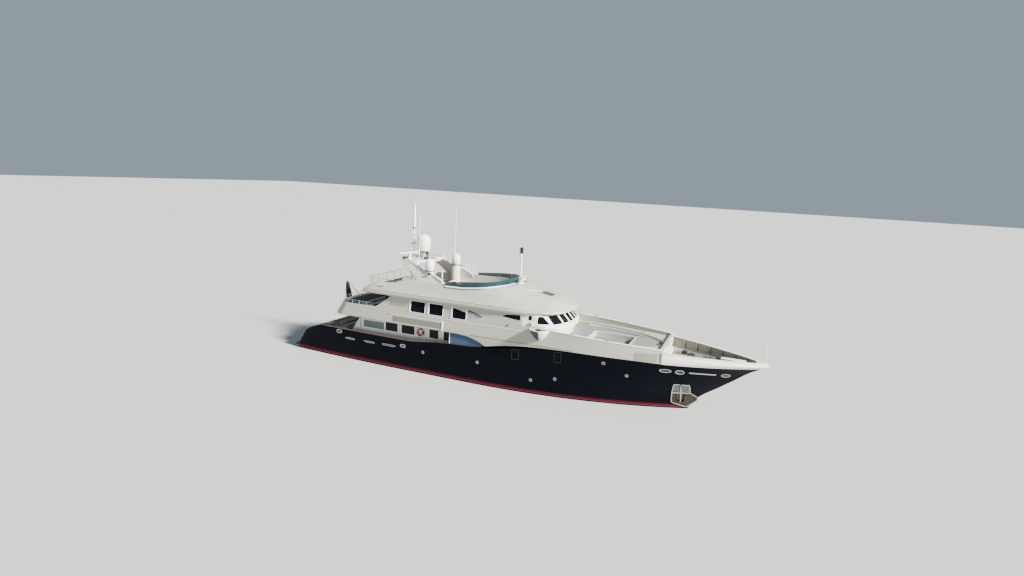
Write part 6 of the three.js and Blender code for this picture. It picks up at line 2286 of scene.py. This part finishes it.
class YACHT_OT_seats(bpy.types.Operator):
    """Sofas with filled cushions, and the sun pad"""

    bl_idname = "yacht.seats"
    bl_label = "Seats"

    def execute(self, context):
        build_seats()
        return {"FINISHED"}


# Columns: name, x, floor, half length, half width
TABLES = [("aft_table", -18.7, MAIN_DECK, 0.55, 1.3), ("upper_table", -15.2, UPPER_DECK, 0.6, 1.4)]
# Chairs: x, y, floor, degrees that the chair faces round from the bow
CHAIRS = [
    (-17.75, -0.8, MAIN_DECK, 180), (-17.75, 0.8, MAIN_DECK, 180), (-14.2, -0.9, UPPER_DECK, 180),
    (-14.2, 0.9, UPPER_DECK, 180),
    (-15.2, -2, UPPER_DECK, 90), (-15.2, 2, UPPER_DECK, -90), (-17, -3.3, UPPER_DECK, 60), (-14, -3.2, UPPER_DECK, 120),
    (-11.6, -2.9, SUN_DECK, 100), (-11.6, 2.9, SUN_DECK, -100), (-12.2, -1, SUN_DECK, 0), (-12.2, 1, SUN_DECK, 0),
    (-12.6, 2.2, SUN_DECK, -60), (-12.4, -2.4, SUN_DECK, 60),
]


def chair():
    """Sling chair facing the bow: white tube frame, dark seat and back."""
    frame = []
    for y in (-0.3, 0.3):
        side = [(0.3, y, 0), (0.32, y, 0.62), (-0.1, y, 0.64), (-0.36, y, 0.62), (-0.3, y, 0)]
        frame.append(tube(smooth_path(side, 4), 0.02, 8))
        frame.append(tube(smooth_path([(-0.22, y, 0.4), (-0.3, y, 0.7), (-0.42, y, 1)], 4), 0.02, 8))
    frame += [
        rod((-0.42, -0.3, 1), (-0.42, 0.3, 1), 0.02, sides=8), rod((0.3, -0.3, 0.4), (0.3, 0.3, 0.4), 0.02, sides=8)
    ]
    sling = swept([(0.3, 0, 0.42), (0, 0, 0.38), (-0.2, 0, 0.4), (-0.3, 0, 0.68), (-0.42, 0, 0.99)], slab(0.54, 0.03))
    return layered(frame, [sling])


def build_tables():
    for name, x, floor, long, wide in TABLES:
        plan = [(x + long * cos(a), wide * sin(a)) for a in spread(0, tau, 48)[:-1]]
        top = plate(plan, floor + 0.7, floor + 0.75)
        rounded_edges(top, 0.015)
        foot = block((x - 0.2, x + 0.2), (-0.5, 0.5), (floor + 0.013, floor + 0.04), 0.01)
        stem_post = block((x - 0.08, x + 0.08), (-0.3, 0.3), (floor + 0.02, floor + 0.72), 0.03)
        add_piece(f"{name}_top", layered([top], [foot, stem_post]), "varnished_teak steel", name)
    chairs = []
    for x, y, floor, turn in CHAIRS:
        chairs.append(moved(chair(), (x, y, floor + 0.013), (radians(turn), "Z")))
    add_piece("deck_chairs", chairs, "bright_white dark_wicker", slot="dark")
    outline = [
        (-10.9, -2.2), (-7.9, -2.2), (-7.9, 2.2), (-10.9, 2.2), (-10.9, 1.4), (-8.7, 1.4), (-8.7, -1.4), (-10.9, -1.4)
    ]
    counter = plate(outline, SUN_DECK + 0.016, 9.08)
    rounded_edges(counter, 0.03)
    top = plate([(x + (0.04 if x > -8 else 0), y * 1.012) for x, y in outline], 9.08, 9.15)
    rounded_edges(top, 0.02)
    fronts = [block((-7.9, -7.88), (y - 0.5, y + 0.5), (8.2, 8.95), 0.008) for y in (-1.5, 0, 1.5)]
    add_piece("bar_counter", layered([counter], [top], fronts), "white_paint varnished_teak dark_wicker", "sun_bar")
    rows = [
        (0, 8.07), (0.18, 8.07), (0.18, 8.09), (0.03, 8.12), (0.03, 8.72), (0.19, 8.74), (0.2, 8.8), (0.17, 8.84),
        (0, 8.85),
    ]
    stools = [turned(rows, (-7.4, y, 0), 28) for y in (-1.2, -0.4, 0.4, 1.2)]
    add_piece("bar_stools", stools, "leather")


class YACHT_OT_tables(bpy.types.Operator):
    """Tables, chairs and the bar counter"""

    bl_idname = "yacht.tables"
    bl_label = "Tables, chairs and bar"

    def execute(self, context):
        build_tables()
        return {"FINISHED"}


# Stage

CAMERA = {"place": (11.43, -27.76, 10.29), "heading": (-0.3827, 0.9239), "pitch": 10.55, "roll": 3}
SUN_FROM = (0.86, -0.13, 0.5)


def build_stage():
    stage = bpy.context.scene.yacht_stage
    floor = bpy.data.meshes.new("floor")
    bm = bmesh.new()
    bmesh.ops.create_grid(bm, x_segments=2, y_segments=2, size=300)
    bm.to_mesh(floor)
    bm.free()
    r = Recipe("floor_paint", tuple(stage.floor), 0.9)
    r.set("Specular IOR Level", 0.1)
    floor.materials.append(r.material)
    placed("floor", floor)
    world = bpy.data.worlds.new("studio")
    world.use_nodes = True
    background = world.node_tree.nodes["Background"]
    background.inputs["Color"].default_value = (0.7, 0.85, 1, 1)
    background.inputs["Strength"].default_value = stage.sky
    bpy.context.scene.world = world
    key = bpy.data.lights.new("key", "SUN")
    key.energy, key.angle, key.color = stage.key, radians(6), (1, 0.95, 0.87)
    placed("key", key).matrix_world = Vector(SUN_FROM).to_track_quat("Z", "Y").to_matrix().to_4x4()
    pitch, roll = radians(CAMERA["pitch"]), radians(CAMERA["roll"])
    east, north = CAMERA["heading"]
    ahead = Vector((east * cos(pitch), north * cos(pitch), -sin(pitch)))
    level = ahead.cross(Vector((0, 0, 1))).normalized()
    upright_way = level.cross(ahead)
    right = level * cos(roll) + upright_way * sin(roll)
    up = upright_way * cos(roll) - level * sin(roll)
    turn = Matrix((right, up, -ahead)).transposed().to_4x4()
    lens = bpy.data.cameras.new("camera")
    lens.lens, lens.sensor_width, lens.clip_end = stage.lens, 36, 1000
    camera = placed("camera", lens)
    camera.matrix_world = Matrix.Translation(CAMERA["place"]) @ turn
    bpy.context.scene.camera = camera


class YACHT_OT_stage(bpy.types.Operator):
    """Pale floor at the waterline, soft lights and the camera"""

    bl_idname = "yacht.stage"
    bl_label = "Stage"

    def execute(self, context):
        build_stage()
        return {"FINISHED"}


# Add-on

OPERATORS = [
    YACHT_OT_hull, YACHT_OT_topsides, YACHT_OT_stern, YACHT_OT_running_gear, YACHT_OT_anchors, YACHT_OT_upper_shell,
    YACHT_OT_shell_details, YACHT_OT_sun_deck, YACHT_OT_windscreen, YACHT_OT_wheelhouse, YACHT_OT_helm,
    YACHT_OT_wing_tubs, YACHT_OT_bow, YACHT_OT_foredeck, YACHT_OT_mooring_deck, YACHT_OT_main_house,
    YACHT_OT_life_rings, YACHT_OT_doors, YACHT_OT_radar_arch, YACHT_OT_scanners_and_domes, YACHT_OT_masts,
    YACHT_OT_ensign, YACHT_OT_rails, YACHT_OT_seats, YACHT_OT_tables, YACHT_OT_stage,
]
SETTINGS = {"yacht_colours": YachtColours, "yacht_sizes": YachtSizes, "yacht_stage": YachtStage}


class YACHT_PT_pieces(bpy.types.Panel):
    """Settings and makers of the yacht's pieces"""

    bl_idname = "YACHT_PT_pieces"
    bl_label = "Yacht"
    bl_space_type = "VIEW_3D"
    bl_region_type = "UI"
    bl_category = "Yacht"

    def draw(self, context):
        for name, group in SETTINGS.items():
            box = self.layout.box()
            for setting in group.__annotations__:
                box.prop(getattr(context.scene, name), setting)
        for operator in OPERATORS:
            self.layout.operator(operator.bl_idname)


def register():
    for kind in (*SETTINGS.values(), *OPERATORS, YACHT_PT_pieces):
        bpy.utils.register_class(kind)
    for name, group in SETTINGS.items():
        setattr(bpy.types.Scene, name, bpy.props.PointerProperty(type=group))


def unregister():
    for name in SETTINGS:
        delattr(bpy.types.Scene, name)
    for kind in (YACHT_PT_pieces, *reversed(OPERATORS), *SETTINGS.values()):
        bpy.utils.unregister_class(kind)


def main():
    register()
    for operator in OPERATORS:
        group, name = operator.bl_idname.split(".")
        getattr(getattr(bpy.ops, group), name)()
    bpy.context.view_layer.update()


if __name__ == "__main__":
    main()
